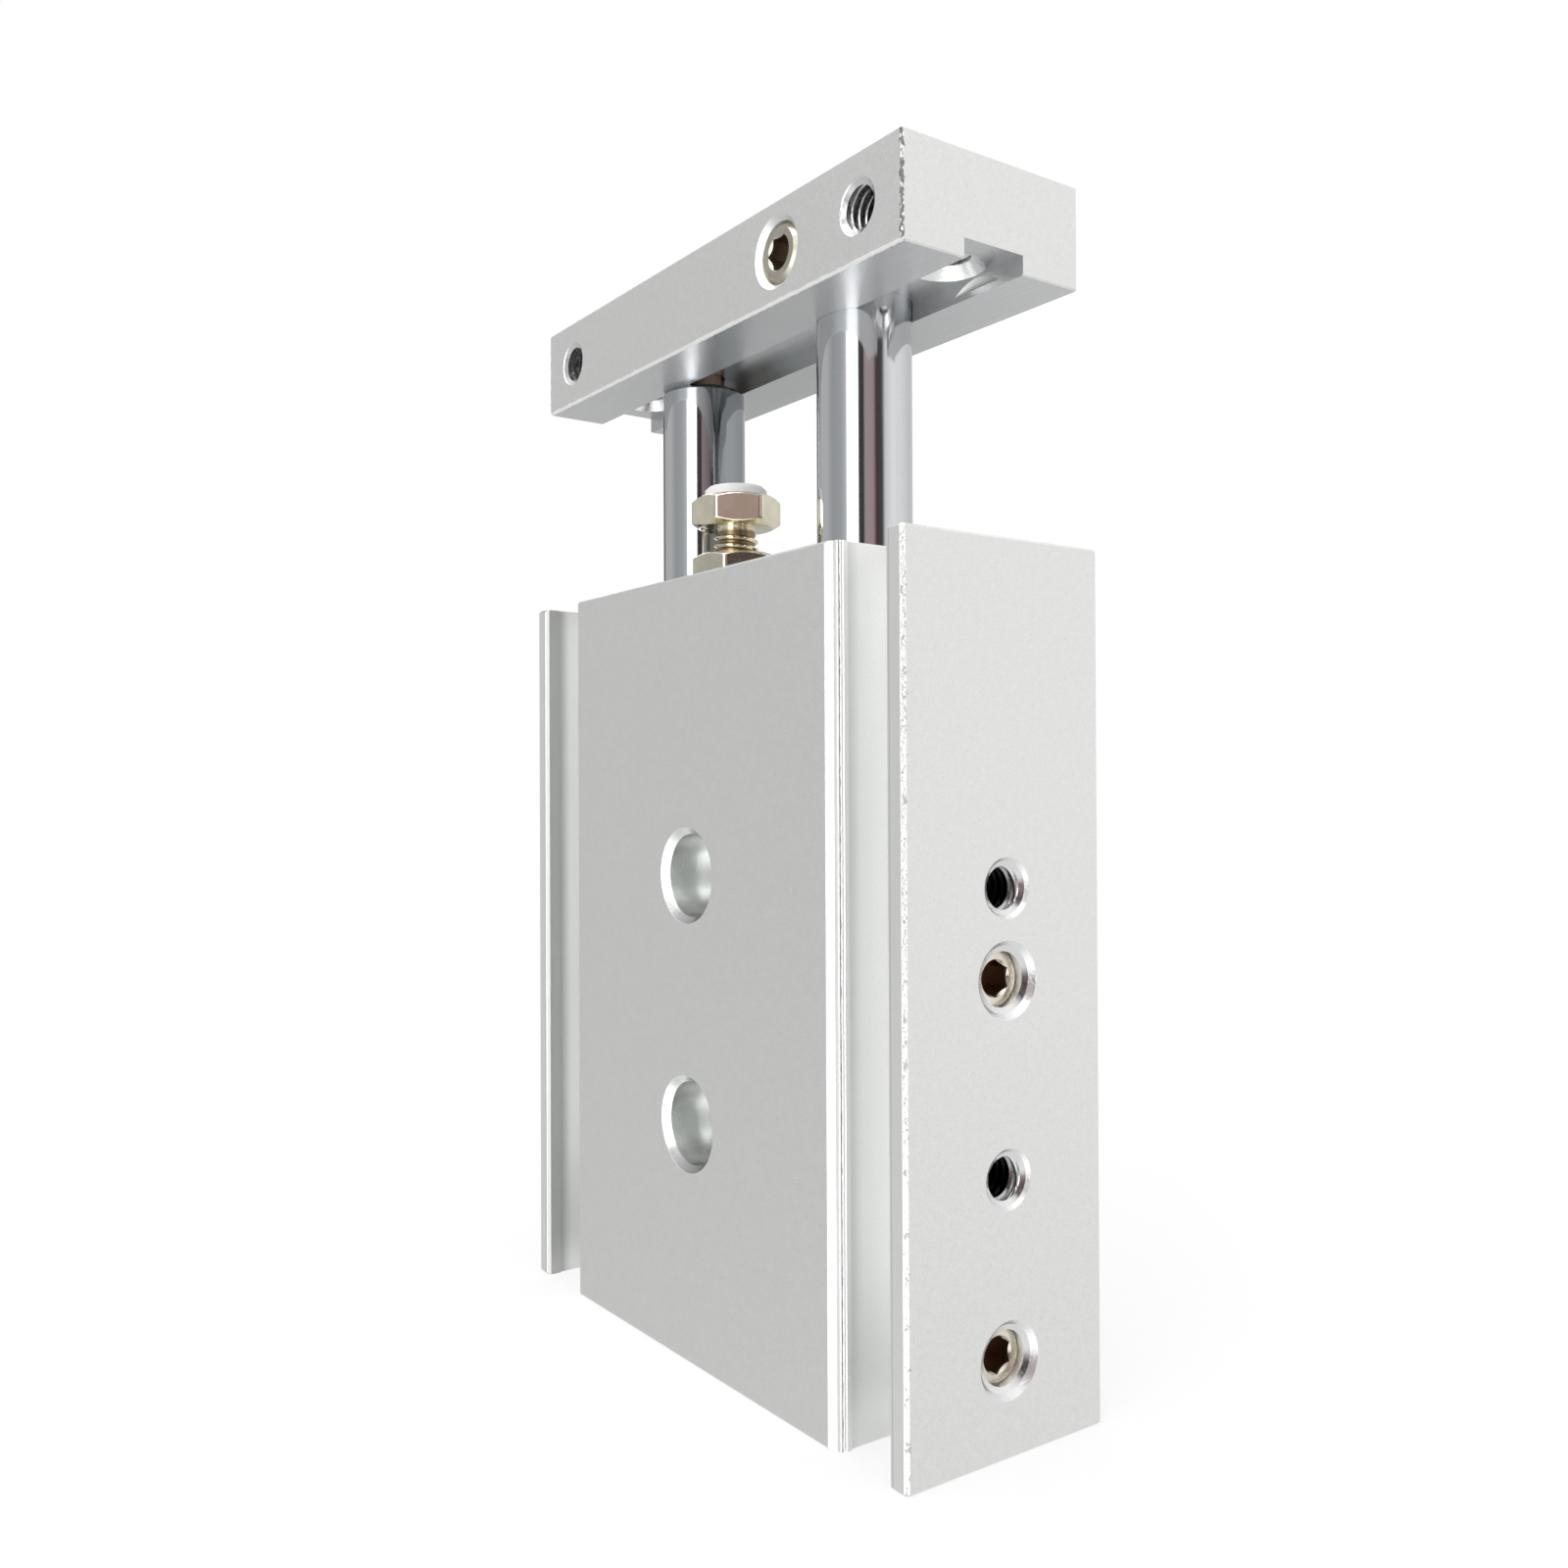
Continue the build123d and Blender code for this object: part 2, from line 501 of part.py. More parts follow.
def make_set_screw():
    """Hexagon socket set screw in the plate's front that bears on the right rod."""
    length = PLATE_DEPTH / 2 - ROD_RADIUS - SET_SCREW_RECESS - SEAT_CLEARANCE
    screw = Cylinder((SET_SCREW_DIAMETER / 2) - SEAT_CLEARANCE, length, align=HANG)
    screw = chamfer(screw.edges().filter_by(GeomType.CIRCLE), PLUG_CHAMFER)
    screw -= hex_socket(SET_SCREW_HEX, PLUG_HEX_DEPTH, HEX_MOUTH_CHAMFER)
    return Pos(ROD_X, PLATE_FRONT_Y + SET_SCREW_RECESS, PLATE_MIDDLE) * TO_FRONT * screw


def make_cap_screw():
    """Socket cap screw that ties the left rod to the plate."""
    seat = PLATE_TOP - CAP_HEAD_HEIGHT - CAP_HEAD_RECESS
    head = post(CAP_HEAD_DIAMETER, seat, seat + CAP_HEAD_HEIGHT)
    head = chamfer(head.edges().group_by(Axis.Z)[-1], SCREW_EDGE_CHAMFER)
    socket = hex_socket(CAP_HEX, CAP_HEX_DEPTH, HEX_MOUTH_CHAMFER)
    head -= Pos(0, 0, seat + CAP_HEAD_HEIGHT) * socket
    shank = post(CAP_SCREW_DIAMETER - 2 * SEAT_CLEARANCE, seat - CAP_SCREW_LENGTH, seat)
    shank = chamfer(shank.edges().group_by(Axis.Z)[0], SCREW_EDGE_CHAMFER)
    return Pos(-ROD_X, 0, 0) * (head + shank)


def make_port_plugs():
    """Hexagon socket plugs that close both right-hand ports."""
    plug = Cylinder(PORT_DIAMETER / 2 - SEAT_CLEARANCE, PLUG_LENGTH, align=HANG)
    plug = chamfer(plug.edges().filter_by(GeomType.CIRCLE), PLUG_CHAMFER)
    plug -= hex_socket(PLUG_HEX, PLUG_HEX_DEPTH, HEX_MOUTH_CHAMFER)
    x = BODY_WIDTH / 2 - PLUG_RECESS
    return [Pos(x, 0, height) * TO_RIGHT * plug for height in PORT_HEIGHTS]


def make_lock_nut():
    """Hexagon nut on the housing's rod end that locks the adjusting bolt."""
    nut = bevelled_hexagon(NUT_HEX, NUT_HEIGHT)
    nut -= post(ADJUSTER_DIAMETER + 2 * SLIDING_CLEARANCE, -AIR, NUT_HEIGHT + AIR)
    return Pos(0, ADJUSTER_Y, BODY_LENGTH) * Rot(0, 0, NUT_TURN) * nut


def make_bumper_bolt():
    """Adjusting bolt with a hexagon head, hollow at the top for the bumper."""
    thread = ADJUSTER_DIAMETER - 2 * SLIDING_CLEARANCE
    shank_low = BODY_LENGTH - ADJUSTER_ENGAGEMENT
    shank = post(thread, shank_low, ADJUSTER_HEAD_HEIGHT)
    shank = chamfer(shank.edges().group_by(Axis.Z)[0], SCREW_EDGE_CHAMFER)
    head = Pos(0, 0, ADJUSTER_HEAD_HEIGHT) * bevelled_hexagon(HEAD_HEX, HEAD_HEIGHT)
    head_top = ADJUSTER_HEAD_HEIGHT + HEAD_HEIGHT
    stem_hole = BUMPER_STEM_DIAMETER + 2 * SLIDING_CLEARANCE
    bolt = shank + head - post(stem_hole, head_top - BUMPER_STEM_LENGTH - SLIDING_CLEARANCE, head_top + AIR)
    return Pos(0, ADJUSTER_Y, 0) * bolt


def make_bumper():
    """Soft white button whose stem sits in the bolt's head."""
    head_top = ADJUSTER_HEAD_HEIGHT + HEAD_HEIGHT
    button = post(BUMPER_DIAMETER, head_top + SEAT_CLEARANCE, head_top + BUMPER_STAND_OUT)
    button = chamfer(button.edges().group_by(Axis.Z)[-1], BUMPER_CHAMFER)
    button += post(BUMPER_STEM_DIAMETER, head_top - BUMPER_STEM_LENGTH, head_top + SEAT_CLEARANCE)
    return Pos(0, ADJUSTER_Y, 0) * button


def rings_at(height):
    """The two identical retaining rings at one end of the housing."""
    return [retaining_ring(side * ROD_X, height) for side in SIDES.values()]


def all_nodes():
    """Every sub-part by name: one solid, or the solids of a group of identical fasteners."""
    nodes = {
        "housing": make_housing(),
        "end_plate": make_end_plate(),
        "rod_left": make_rod_left(),
        "rod_right": make_rod_right(),
        "set_screw": make_set_screw(),
        "cap_screw": make_cap_screw(),
        "port_plugs": make_port_plugs(),
        "retaining_rings_head": rings_at(HEAD_RING_HEIGHT),
        "retaining_rings_rod": rings_at(ROD_RING_HEIGHT),
        "lock_nut": make_lock_nut(),
        "bumper_bolt": make_bumper_bolt(),
        "bumper": make_bumper(),
    }
    makers = {
        "head_cover": make_head_cover,
        "head_cover_seal": make_head_seal,
        "rod_cover": make_rod_cover,
        "rod_bush": make_bush,
        "rod_cover_seal": make_rod_cover_seal,
        "rod_seal": make_rod_seal,
        "seal_retainer": make_seal_retainer,
        "piston": make_piston,
        "piston_seal": make_piston_seal,
        "magnet_ring": make_magnet,
        "piston_cushion": make_cushion,
    }
    for name, maker in makers.items():
        for side_name, side in SIDES.items():
            nodes[f"{name}_{side_name}"] = maker(side)
    return nodes


def write_parts():
    """Write one file for each node."""
    os.makedirs("parts", exist_ok=True)
    for name, made in all_nodes().items():
        shape = Compound(children=made) if isinstance(made, list) else made
        export_step(shape, f"parts/{name}.step")


write_parts()
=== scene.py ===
import json
import math

import bmesh
import bpy
from mathutils import Matrix, Vector


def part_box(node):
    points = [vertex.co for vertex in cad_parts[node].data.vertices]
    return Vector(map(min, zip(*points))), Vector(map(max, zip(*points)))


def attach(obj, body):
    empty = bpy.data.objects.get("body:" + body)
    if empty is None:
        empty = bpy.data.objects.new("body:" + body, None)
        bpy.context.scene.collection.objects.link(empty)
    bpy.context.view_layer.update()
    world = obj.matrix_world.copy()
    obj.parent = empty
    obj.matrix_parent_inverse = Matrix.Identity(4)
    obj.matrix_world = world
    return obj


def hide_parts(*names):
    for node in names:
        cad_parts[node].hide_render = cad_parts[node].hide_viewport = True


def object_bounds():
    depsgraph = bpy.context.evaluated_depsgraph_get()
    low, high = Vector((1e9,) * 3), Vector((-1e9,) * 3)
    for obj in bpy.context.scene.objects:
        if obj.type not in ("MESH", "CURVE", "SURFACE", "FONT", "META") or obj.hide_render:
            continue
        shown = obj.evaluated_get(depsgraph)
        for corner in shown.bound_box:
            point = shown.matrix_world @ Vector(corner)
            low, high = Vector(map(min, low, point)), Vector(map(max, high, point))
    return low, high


MM = 0.001

# Camera, found by fitting the photo's edges: place in metres, angles in degrees
CAMERA_PLACE = (0.10319, -0.07325, 0.04900)
CAMERA_YAW = 54.44
CAMERA_PITCH = 0.42
CAMERA_ROLL = -0.25
CAMERA_LENS = 32.0
SENSOR_WIDTH = 36.0

# Threads: radius, depth of the ridge and pitch
M4_PITCH = 0.7 * MM
M4_THREAD = (2.0 * MM, 0.36 * MM, M4_PITCH)
M5_THREAD = (2.5 * MM, 0.42 * MM, 0.8 * MM)

# Threaded holes: foot of the chamfer and end of the thread, as depths below the face
SIDE_DEPTHS = (0.3 * MM, 5.6 * MM)
PLATE_FRONT_DEPTHS = (0.1 * MM, 4.7 * MM)
PLATE_TOP_DEPTHS = (0.3 * MM, 5.8 * MM)
OPEN_PORT_DEPTHS = (0.45 * MM, 4.6 * MM)

# How a thread is drawn: points to a turn, and the shape of its ridge
THREAD_STEPS = 48
RUN_OUT_STEPS = THREAD_STEPS / 3
RIDGE_FOOT_SHARE = 0.80
RIDGE_CREST_SHARE = 0.16
RIDGE_ROOTED = 0.03 * MM
COUNTERSINK_DEPTH = 0.22 * MM
COUNTERSINK_RUN = 0.5 * MM
THREAD_SHARP_ANGLE = math.radians(40.0)

# Stroke adjuster
HEAD_ACROSS_FLATS = 7.0 * MM
HEAD_HEIGHT = 2.7 * MM
BOLT_RADIUS = 1.95 * MM
BOLT_CORE_RADIUS = 1.62 * MM
BOLT_THREAD_START = 0.1 * MM
ROOT_RADIUS = 1.70 * MM
BUMPER_HOLE_RADIUS = 1.3 * MM
BUMPER_HOLE_DEPTH = 2.05 * MM
NUT_BORE_RADIUS = 2.05 * MM
NUT_TURN = math.radians(11.0)
HEX_BEVEL = math.radians(30.0)
FLAT_ROUND_SHARE = 0.93
HEX_CORNER_RADIUS = 0.55 * MM
HEX_SMALL_BEVEL = 0.06 * MM
HEX_BEVEL_FROM = math.radians(28.0)
HEX_SHARP_ANGLE = math.radians(30.0)

# Rounded corners of the hexagons: half the angle that a round takes up, and where the points of an outline
# lie on a corner and on a flat
ROUND_CENTRE = (HEAD_ACROSS_FLATS / 2 - HEX_CORNER_RADIUS) / math.cos(math.pi / 6)
ROUND_REACH = ROUND_CENTRE + HEX_CORNER_RADIUS * math.cos(math.pi / 6)
ROUNDED_ANGLE = math.atan2(HEX_CORNER_RADIUS / 2, ROUND_REACH)
CORNER_SHARES = (-1.0, -0.75, -0.5, -0.25, 0.0, 0.25, 0.5, 0.75, 1.0)
FLAT_SHARES = (0.2, 0.4, 0.6, 0.8)

# Places on the aluminium that are finished in their own way, several of them with painted light and shade
GROOVE_FROM = 20.55 * MM
GROOVE_TO = 27.25 * MM
GROOVE_MIDDLE = (GROOVE_FROM + GROOVE_TO) / 2
GROOVE_FLOOR = -3.95 * MM
GROOVE_LIP = -8.6 * MM
GROOVE_MOUTH_SHADE = (-8.6 * MM, -7.1 * MM)
GROOVE_LOW_END_SHADE = (3.0 * MM, 15.0 * MM)
RIB_FROM = 27.25 * MM
RIB_LINE = 27.5 * MM
RIB_LINE_WIDTH = 0.08 * MM
RIB_FRONT = -9.96 * MM
RIB_CHAMFER = -9.6 * MM
PAD_EDGE_FROM = 20.4 * MM
PAD_EDGE_TO = 21.35 * MM
PAD_LIP = -9.55 * MM
PAD_CORNER = 20.95 * MM
STEP_SHADOW_LINE = -9.45 * MM
STEP_SHADOW_WIDTH = 0.12 * MM
STEP_SHADOW_WIDTH_SHARES = (0.85, 1.1)
EDGE_HIGHLIGHT_WIDTH = 0.24 * MM
EDGE_HIGHLIGHT_WIDTH_SHARES = (0.7, 1.2)
COUNTERBORE_ZONE = 4.15 * MM
COUNTERBORE_CHAMFER = 0.62 * MM
COUNTERBORE_LOW_SIDE_SHADE = (3.2 * MM, 1.4 * MM)
CHANNEL_DEPTH = 1.5 * MM
CHANNEL_HALF_WIDTH = 3.03 * MM
FACE_MARGIN = 0.03 * MM
MOUTH_MARGIN = -0.02 * MM
ZONE_SOFT_EDGE = 0.04 * MM

# Sockets of the screws and plugs: radius, and the depths between which painted shade darkens them
SOCKET_RADIUS = 1.62 * MM
SOCKET_DARK = (0.12 * MM, 0.45 * MM)
CAP_HEAD_HEIGHT = 4.0 * MM
CAP_SHANK_ZONE = 2.1 * MM

# Cut walls of the tapped holes: radius of the zone, its roughness, the depths between which painted shade
# darkens it and the depth where it ends
HOLE_DARK = (1.1 * MM, 2.2 * MM)
SIDE_WALL = (2.32 * MM, 0.34, HOLE_DARK, 7.5 * MM)
PORT_WALL = (2.98 * MM, 0.26, (2.0 * MM, 3.2 * MM), 7.5 * MM)
PLATE_FRONT_WALL = (2.14 * MM, 0.2, (2.3 * MM, 3.4 * MM), 7.5 * MM)
PLATE_UNDER_WALL = (2.95 * MM, 0.08, (1.0 * MM, 1.6 * MM), 5.5 * MM)

# Rough front edges: width of the line, how much of it is torn and how dark the torn places are
HOUSING_BURR = (0.34 * MM, 0.44, 0.5)
PLATE_BURR = (0.24 * MM, 0.58, 0.85)

# Left rod: direction of its painted shade, and where the shade begins and is full, in shares of the radius
SHADED_FLANK = (0.993, 0.122, 0.0)
SHADED_FLANK_SHARES = (0.62, 0.90)

# Relief of the finishes, from the top of the grain to its bottom
BLASTED_RELIEF = 0.012 * MM
TURNED_RELIEF = 0.01 * MM
CHROME_RELIEF = 0.002 * MM
PLATED_RELIEF = 0.004 * MM
SINTERED_RELIEF = 0.01 * MM
MOULDED_RELIEF = 0.02 * MM
URETHANE_RELIEF = 0.01 * MM

# Fineness of the finishes, as the scales of their noises
BLASTED_GRAIN = 5200.0
BLASTED_SPECKS = 2300.0
BURR_GRAIN = 3400.0
GROOVE_LINES = 5000.0
STEP_SHADOW_GRAIN = 3000.0
RIB_LINES = 6000.0
EDGE_HIGHLIGHT_GRAIN = 2400.0
COUNTERBORE_LINES = 7000.0
MILLED_LINES = 3500.0
TURNED_LINES = 9000.0
TURNED_PATCHES = 700.0
THREAD_GRAIN = 4200.0
CHROME_RINGS = 12000.0
CHROME_MARKS = 1500.0
PLATED_CLOUD = 500.0
PLATED_GRAIN = 5200.0
PHOSPHATE_GRAIN = 6000.0
BRONZE_GRAIN = 5000.0
RUBBER_GRAIN = 4000.0
URETHANE_GRAIN = 3000.0
MAGNET_GRAIN = 5000.0
PAPER_GRAIN = 900.0

# Range that most of a noise lies in, and the steps of it over which specks and torn places fade out
NOISE_SPAN = (0.3, 0.7)
SPECK_FADE = 0.06
TORN_FADE = 0.05

# Types of the sockets of the shader node groups
FLOAT = "NodeSocketFloat"
VECTOR = "NodeSocketVector"

RIGHT = Vector((1.0, 0.0, 0.0))
LEFT = Vector((-1.0, 0.0, 0.0))
FRONT = Vector((0.0, -1.0, 0.0))
UP = Vector((0.0, 0.0, 1.0))
DOWN = Vector((0.0, 0.0, -1.0))

# Floor and studio: half the floor's side, the distances over which it fades to white, the heights of the
# directions that meet the ceiling and the lower room, and the softbox
FLOOR_HALF_SIDE = 3.0
FLOOR_FADE = (0.06, 0.22)
CEILING_HEIGHTS = (0.42, 0.85)
LOWER_HEIGHTS = (-0.45, -0.12)
SOFTBOX_PLACE = (0.05, -0.10, 0.55)
SOFTBOX_TARGET = (0.0, 0.0, 0.05)
SOFTBOX_SIDE = 0.5
SOFTBOX_POWER = 2.0

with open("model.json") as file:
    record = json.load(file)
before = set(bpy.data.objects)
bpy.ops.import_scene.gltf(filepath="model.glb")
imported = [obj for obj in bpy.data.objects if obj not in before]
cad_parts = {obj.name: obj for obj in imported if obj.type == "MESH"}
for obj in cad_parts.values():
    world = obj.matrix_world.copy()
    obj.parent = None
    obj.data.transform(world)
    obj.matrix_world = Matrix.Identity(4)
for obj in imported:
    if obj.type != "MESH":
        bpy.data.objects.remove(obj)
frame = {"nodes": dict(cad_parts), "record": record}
cad_low, cad_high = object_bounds()
nodes = frame["nodes"]
record = frame["record"]
mounts = {mount["name"]: mount for mount in record["mounts"]}


class Graph:
    """Adds nodes to a node tree and links them."""

    def __init__(self, tree):
        self.tree = tree

    def feed(self, socket, value):
        if isinstance(value, bpy.types.NodeSocket):
            self.tree.links.new(value, socket)
        else:
            socket.default_value = value

    def add(self, kind, inputs=None, output=0, **settings):
        node = self.tree.nodes.new(kind)
        for name, value in settings.items():
            setattr(node, name, value)
        for key, value in (inputs or {}).items():
            self.feed(node.inputs[key], value)
        return node.outputs[output]

    def math(self, operation, a, b=0.0, clamp=False):
        return self.add("ShaderNodeMath", {0: a, 1: b}, operation=operation, use_clamp=clamp)

    def vector(self, operation, a, b=(0.0, 0.0, 0.0), output=0):
        return self.add("ShaderNodeVectorMath", {0: a, 1: b}, output, operation=operation)

    def place(self):
        """Place on the piece in its own frame, in metres."""
        return self.add("ShaderNodeTexCoord", output="Object")

    def axes(self, vector):
        """The three parts of a vector."""
        self.add("ShaderNodeSeparateXYZ", {0: vector})
        return self.tree.nodes[-1].outputs

    def noise(self, vector, scale, detail=2.0, roughness=0.5):
        inputs = {"Vector": vector, "Scale": scale, "Detail": detail, "Roughness": roughness}
        return self.add("ShaderNodeTexNoise", inputs, "Fac")

    def between(self, value, low, high, to_low=0.0, to_high=1.0):
        """Smooth step of a value from one range to another."""
        inputs = {0: value, 1: low, 2: high, 3: to_low, 4: to_high}
        return self.add("ShaderNodeMapRange", inputs, interpolation_type="SMOOTHSTEP")

    def blend(self, factor, a, b):
        """Number between a and b."""
        return self.add("ShaderNodeMix", {0: factor, 2: a, 3: b}, data_type="FLOAT")

    def tint(self, factor, a, b):
        """Colour between a and b."""
        return self.add("ShaderNodeMix", {0: factor, 6: a, 7: b}, 2, data_type="RGBA")

    def ramp(self, factor, stops):
        """Colour ramp with a list of (place, colour)."""
        tone = self.add("ShaderNodeValToRGB", {0: factor})
        band = self.tree.nodes[-1].color_ramp
        while len(band.elements) < len(stops):
            band.elements.new(0.5)
        for element, (place, value) in zip(band.elements, stops):
            element.position = place
            element.color = value
        return tone

    def effect(self, group, inputs):
        """Places a shader node group and returns its outputs."""
        self.add("ShaderNodeGroup", node_tree=group)
        node = self.tree.nodes[-1]
        for name, value in inputs.items():
            self.feed(node.inputs[name], value)
        return node.outputs


def grey(value):
    return (value, value, value, 1.0)


def colour(red, green, blue):
    return (red, green, blue, 1.0)


# Plated steels and bronze, each as its lighter and its darker tone
CHAMPAGNE = (colour(0.90, 0.84, 0.68), colour(0.82, 0.76, 0.60))
CREAM = (colour(0.88, 0.83, 0.74), colour(0.76, 0.71, 0.62))
OLIVE = (colour(0.62, 0.59, 0.50), colour(0.50, 0.47, 0.39))
BRONZE = (colour(0.62, 0.46, 0.28), colour(0.38, 0.26, 0.15))

# Unlit places deep in holes, sockets and thread roots
DARK_HOLE = colour(0.012, 0.013, 0.016)
DARK_SOCKET = colour(0.30, 0.21, 0.15)
BROWN_SOCKET = colour(0.36, 0.31, 0.25)
THREAD_ROOT = colour(0.30, 0.23, 0.13)


def new_group(name, inputs, outputs):
    """Empty shader node group with named sockets, as (tree, graph, input sockets, output node)."""
    tree = bpy.data.node_groups.new(name, "ShaderNodeTree")
    for socket, kind in inputs.items():
        tree.interface.new_socket(socket, in_out="INPUT", socket_type=kind)
    for socket, kind in outputs.items():
        tree.interface.new_socket(socket, in_out="OUTPUT", socket_type=kind)
    entry = tree.nodes.new("NodeGroupInput")
    leave = tree.nodes.new("NodeGroupOutput")
    return tree, Graph(tree), entry.outputs, leave


def make_fine_grain():
    """Grain of a blasted or cast surface: a height for the bump and an even mottle for the colour."""
    inputs = {"Vector": VECTOR, "Scale": FLOAT}
    tree, g, entry, leave = new_group("fine_grain", inputs, {"Height": FLOAT, "Mottle": FLOAT})
    fine = g.noise(entry["Vector"], entry["Scale"], 3.0, 0.6)
    coarse = g.noise(entry["Vector"], g.math("MULTIPLY", entry["Scale"], 0.3), 2.0)
    grain = g.between(fine, *NOISE_SPAN)
    g.feed(leave.inputs["Height"], grain)
    g.feed(leave.inputs["Mottle"], g.blend(0.25, grain, g.between(coarse, *NOISE_SPAN)))
    return tree


def make_specks():
    """Sparse small specks. A larger Amount gives more of them."""
    inputs = {"Vector": VECTOR, "Scale": FLOAT, "Amount": FLOAT}
    tree, g, entry, leave = new_group("specks", inputs, {"Mask": FLOAT})
    spots = g.noise(entry["Vector"], entry["Scale"], 1.0)
    level = g.math("SUBTRACT", 1.0, entry["Amount"])
    g.feed(leave.inputs["Mask"], g.between(spots, level, g.math("ADD", level, SPECK_FADE)))
    return tree


def make_burr_line():
    """Ragged line along the two front upright edges of a box that is centred on the Z axis. Bright and
    Dark are the parts of it that are rubbed bare and the parts that are torn."""
    inputs = {"Vector": VECTOR, "Corner": VECTOR, "Width": FLOAT, "Scale": FLOAT, "Torn": FLOAT}
    tree, g, entry, leave = new_group("burr_line", inputs, {"Bright": FLOAT, "Dark": FLOAT})
    mirrored = g.vector("MULTIPLY", g.vector("ABSOLUTE", entry["Vector"]), (1.0, 0.0, 0.0))
    front = g.vector("MULTIPLY", entry["Vector"], (0.0, 1.0, 0.0))
    edge = g.vector("SUBTRACT", entry["Corner"], g.vector("ADD", mirrored, front))
    distance = g.vector("LENGTH", edge, output="Value")
    drawn = g.vector("MULTIPLY", entry["Vector"], (1.0, 1.0, 0.6))
    ragged = g.noise(drawn, entry["Scale"], 3.0, 0.7)
    torn = g.noise(drawn, g.math("MULTIPLY", entry["Scale"], 0.8), 2.0, 0.6)
    width = g.math("MULTIPLY", entry["Width"], g.between(ragged, 0.3, 0.75, 0.3, 1.5))
    band = g.math("LESS_THAN", distance, width)
    level = g.math("SUBTRACT", 1.0, entry["Torn"])
    dark = g.math("MULTIPLY", band, g.between(torn, level, g.math("ADD", level, TORN_FADE)))
    g.feed(leave.inputs["Dark"], dark)
    g.feed(leave.inputs["Bright"], g.math("SUBTRACT", band, dark, clamp=True))
    return tree


def make_turned_lines():
    """Fine rings that a lathe leaves about the Z axis, as a height."""
    inputs = {"Vector": VECTOR, "Scale": FLOAT}
    tree, g, entry, leave = new_group("turned_lines", inputs, {"Height": FLOAT})
    stretched = g.vector("MULTIPLY", entry["Vector"], (0.06, 0.06, 1.0))
    g.feed(leave.inputs["Height"], g.noise(stretched, entry["Scale"], 2.0, 0.7))
    return tree


def make_hole_zone():
    """Mask of the round zone about a hole's axis, and the depth below the hole's mouth. A folded place
    reaches the mirrored hole too."""
    inputs = {"Vector": VECTOR, "Mouth": VECTOR, "Axis": VECTOR, "Radius": FLOAT}
    tree, g, entry, leave = new_group("hole_zone", inputs, {"Mask": FLOAT, "Depth": FLOAT})
    offset = g.vector("SUBTRACT", entry["Vector"], entry["Mouth"])
    along = g.vector("DOT_PRODUCT", offset, entry["Axis"], output="Value")
    g.add("ShaderNodeVectorMath", {0: entry["Axis"], "Scale": along}, operation="SCALE")
    sideways = g.vector("SUBTRACT", offset, g.tree.nodes[-1].outputs[0])
    radius = g.vector("LENGTH", sideways, output="Value")
    rim = g.math("ADD", entry["Radius"], ZONE_SOFT_EDGE)
    g.feed(leave.inputs["Mask"], g.between(radius, entry["Radius"], rim, 1.0, 0.0))
    g.feed(leave.inputs["Depth"], g.math("MULTIPLY", along, -1.0))
    return tree


fine_grain = make_fine_grain()
specks = make_specks()
burr_line = make_burr_line()
turned_lines = make_turned_lines()
hole_zone = make_hole_zone()


def new_material(name, metallic):
    """Material with one Principled shader, as (material, graph, shader)."""
    material = bpy.data.materials.new(name)
    material.use_nodes = True
    shader = material.node_tree.nodes["Principled BSDF"]
    shader.inputs["Metallic"].default_value = metallic
    return material, Graph(material.node_tree), shader


def bump(g, shader, height, distance, strength):
    normal = g.add("ShaderNodeBump", {"Height": height, "Distance": distance, "Strength": strength})
    g.feed(shader.inputs["Normal"], normal)


def mount_holes(name):
    """Mouth of each hole of a bolt pattern of two, and the direction out of it."""
    mount = mounts[name]
    middle = Vector(mount["pos_m"])
    axis = Vector(mount["axis"])
    across = [i for i in range(3) if abs(axis[i]) < 0.5]
    step = Vector((0.0, 0.0, 0.0))
    for index, key in zip(across, ("spacing_x_mm", "spacing_y_mm")):
        step[index] = mount["dims"].get(key, 0.0) * MM / 2
    return [(middle + step, axis), (middle - step, axis)]


def anodised_aluminium(name, node, zones, line_width, torn, torn_share):
    """Satin clear anodising over blasted aluminium, rubbed and torn along the front upright edges. The
    zones make (mask, colour, roughness, metallic) for places with another finish, several of them
    with painted light and shade."""
    low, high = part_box(node)
    material, g, shader = new_material(name, 0.9)
    place = g.place()
    grain = g.effect(fine_grain, {"Vector": place, "Scale": BLASTED_GRAIN})
    satin = g.tint(grain["Mottle"], colour(0.82, 0.826, 0.808), colour(0.90, 0.904, 0.886))
    spots = g.effect(specks, {"Vector": place, "Scale": BLASTED_SPECKS, "Amount": 0.27})
    satin = g.tint(g.math("MULTIPLY", spots["Mask"], 0.16), satin, colour(0.55, 0.56, 0.55))
    rough = g.blend(grain["Mottle"], 0.36, 0.46)
    metallic = g.blend(spots["Mask"], 0.92, 0.85)
    burr = g.effect(burr_line, {
        "Vector": place, "Corner": (high.x, low.y, 0.0),
        "Width": line_width, "Scale": BURR_GRAIN, "Torn": torn,
    })
    bare = g.math("MULTIPLY", burr["Bright"], 0.8)
    satin = g.tint(bare, satin, colour(0.95, 0.95, 0.94))
    rough = g.blend(bare, rough, 0.24)
    satin = g.tint(g.math("MULTIPLY", burr["Dark"], torn_share), satin, colour(0.10, 0.10, 0.10))
    for zone in zones:
        mask, zone_colour, zone_rough, zone_metallic = zone(g, place)
        satin = g.tint(mask, satin, zone_colour)
        rough = g.blend(mask, rough, zone_rough)
        metallic = g.blend(mask, metallic, zone_metallic)
    g.feed(shader.inputs["Base Color"], satin)
    g.feed(shader.inputs["Roughness"], rough)
    g.feed(shader.inputs["Metallic"], metallic)
    bump(g, shader, grain["Height"], BLASTED_RELIEF, 0.5)
    return material


def inside(g, value, low, high):
    """1 where a value lies between two limits."""
    return g.math("MULTIPLY", g.math("GREATER_THAN", value, low), g.math("LESS_THAN", value, high))


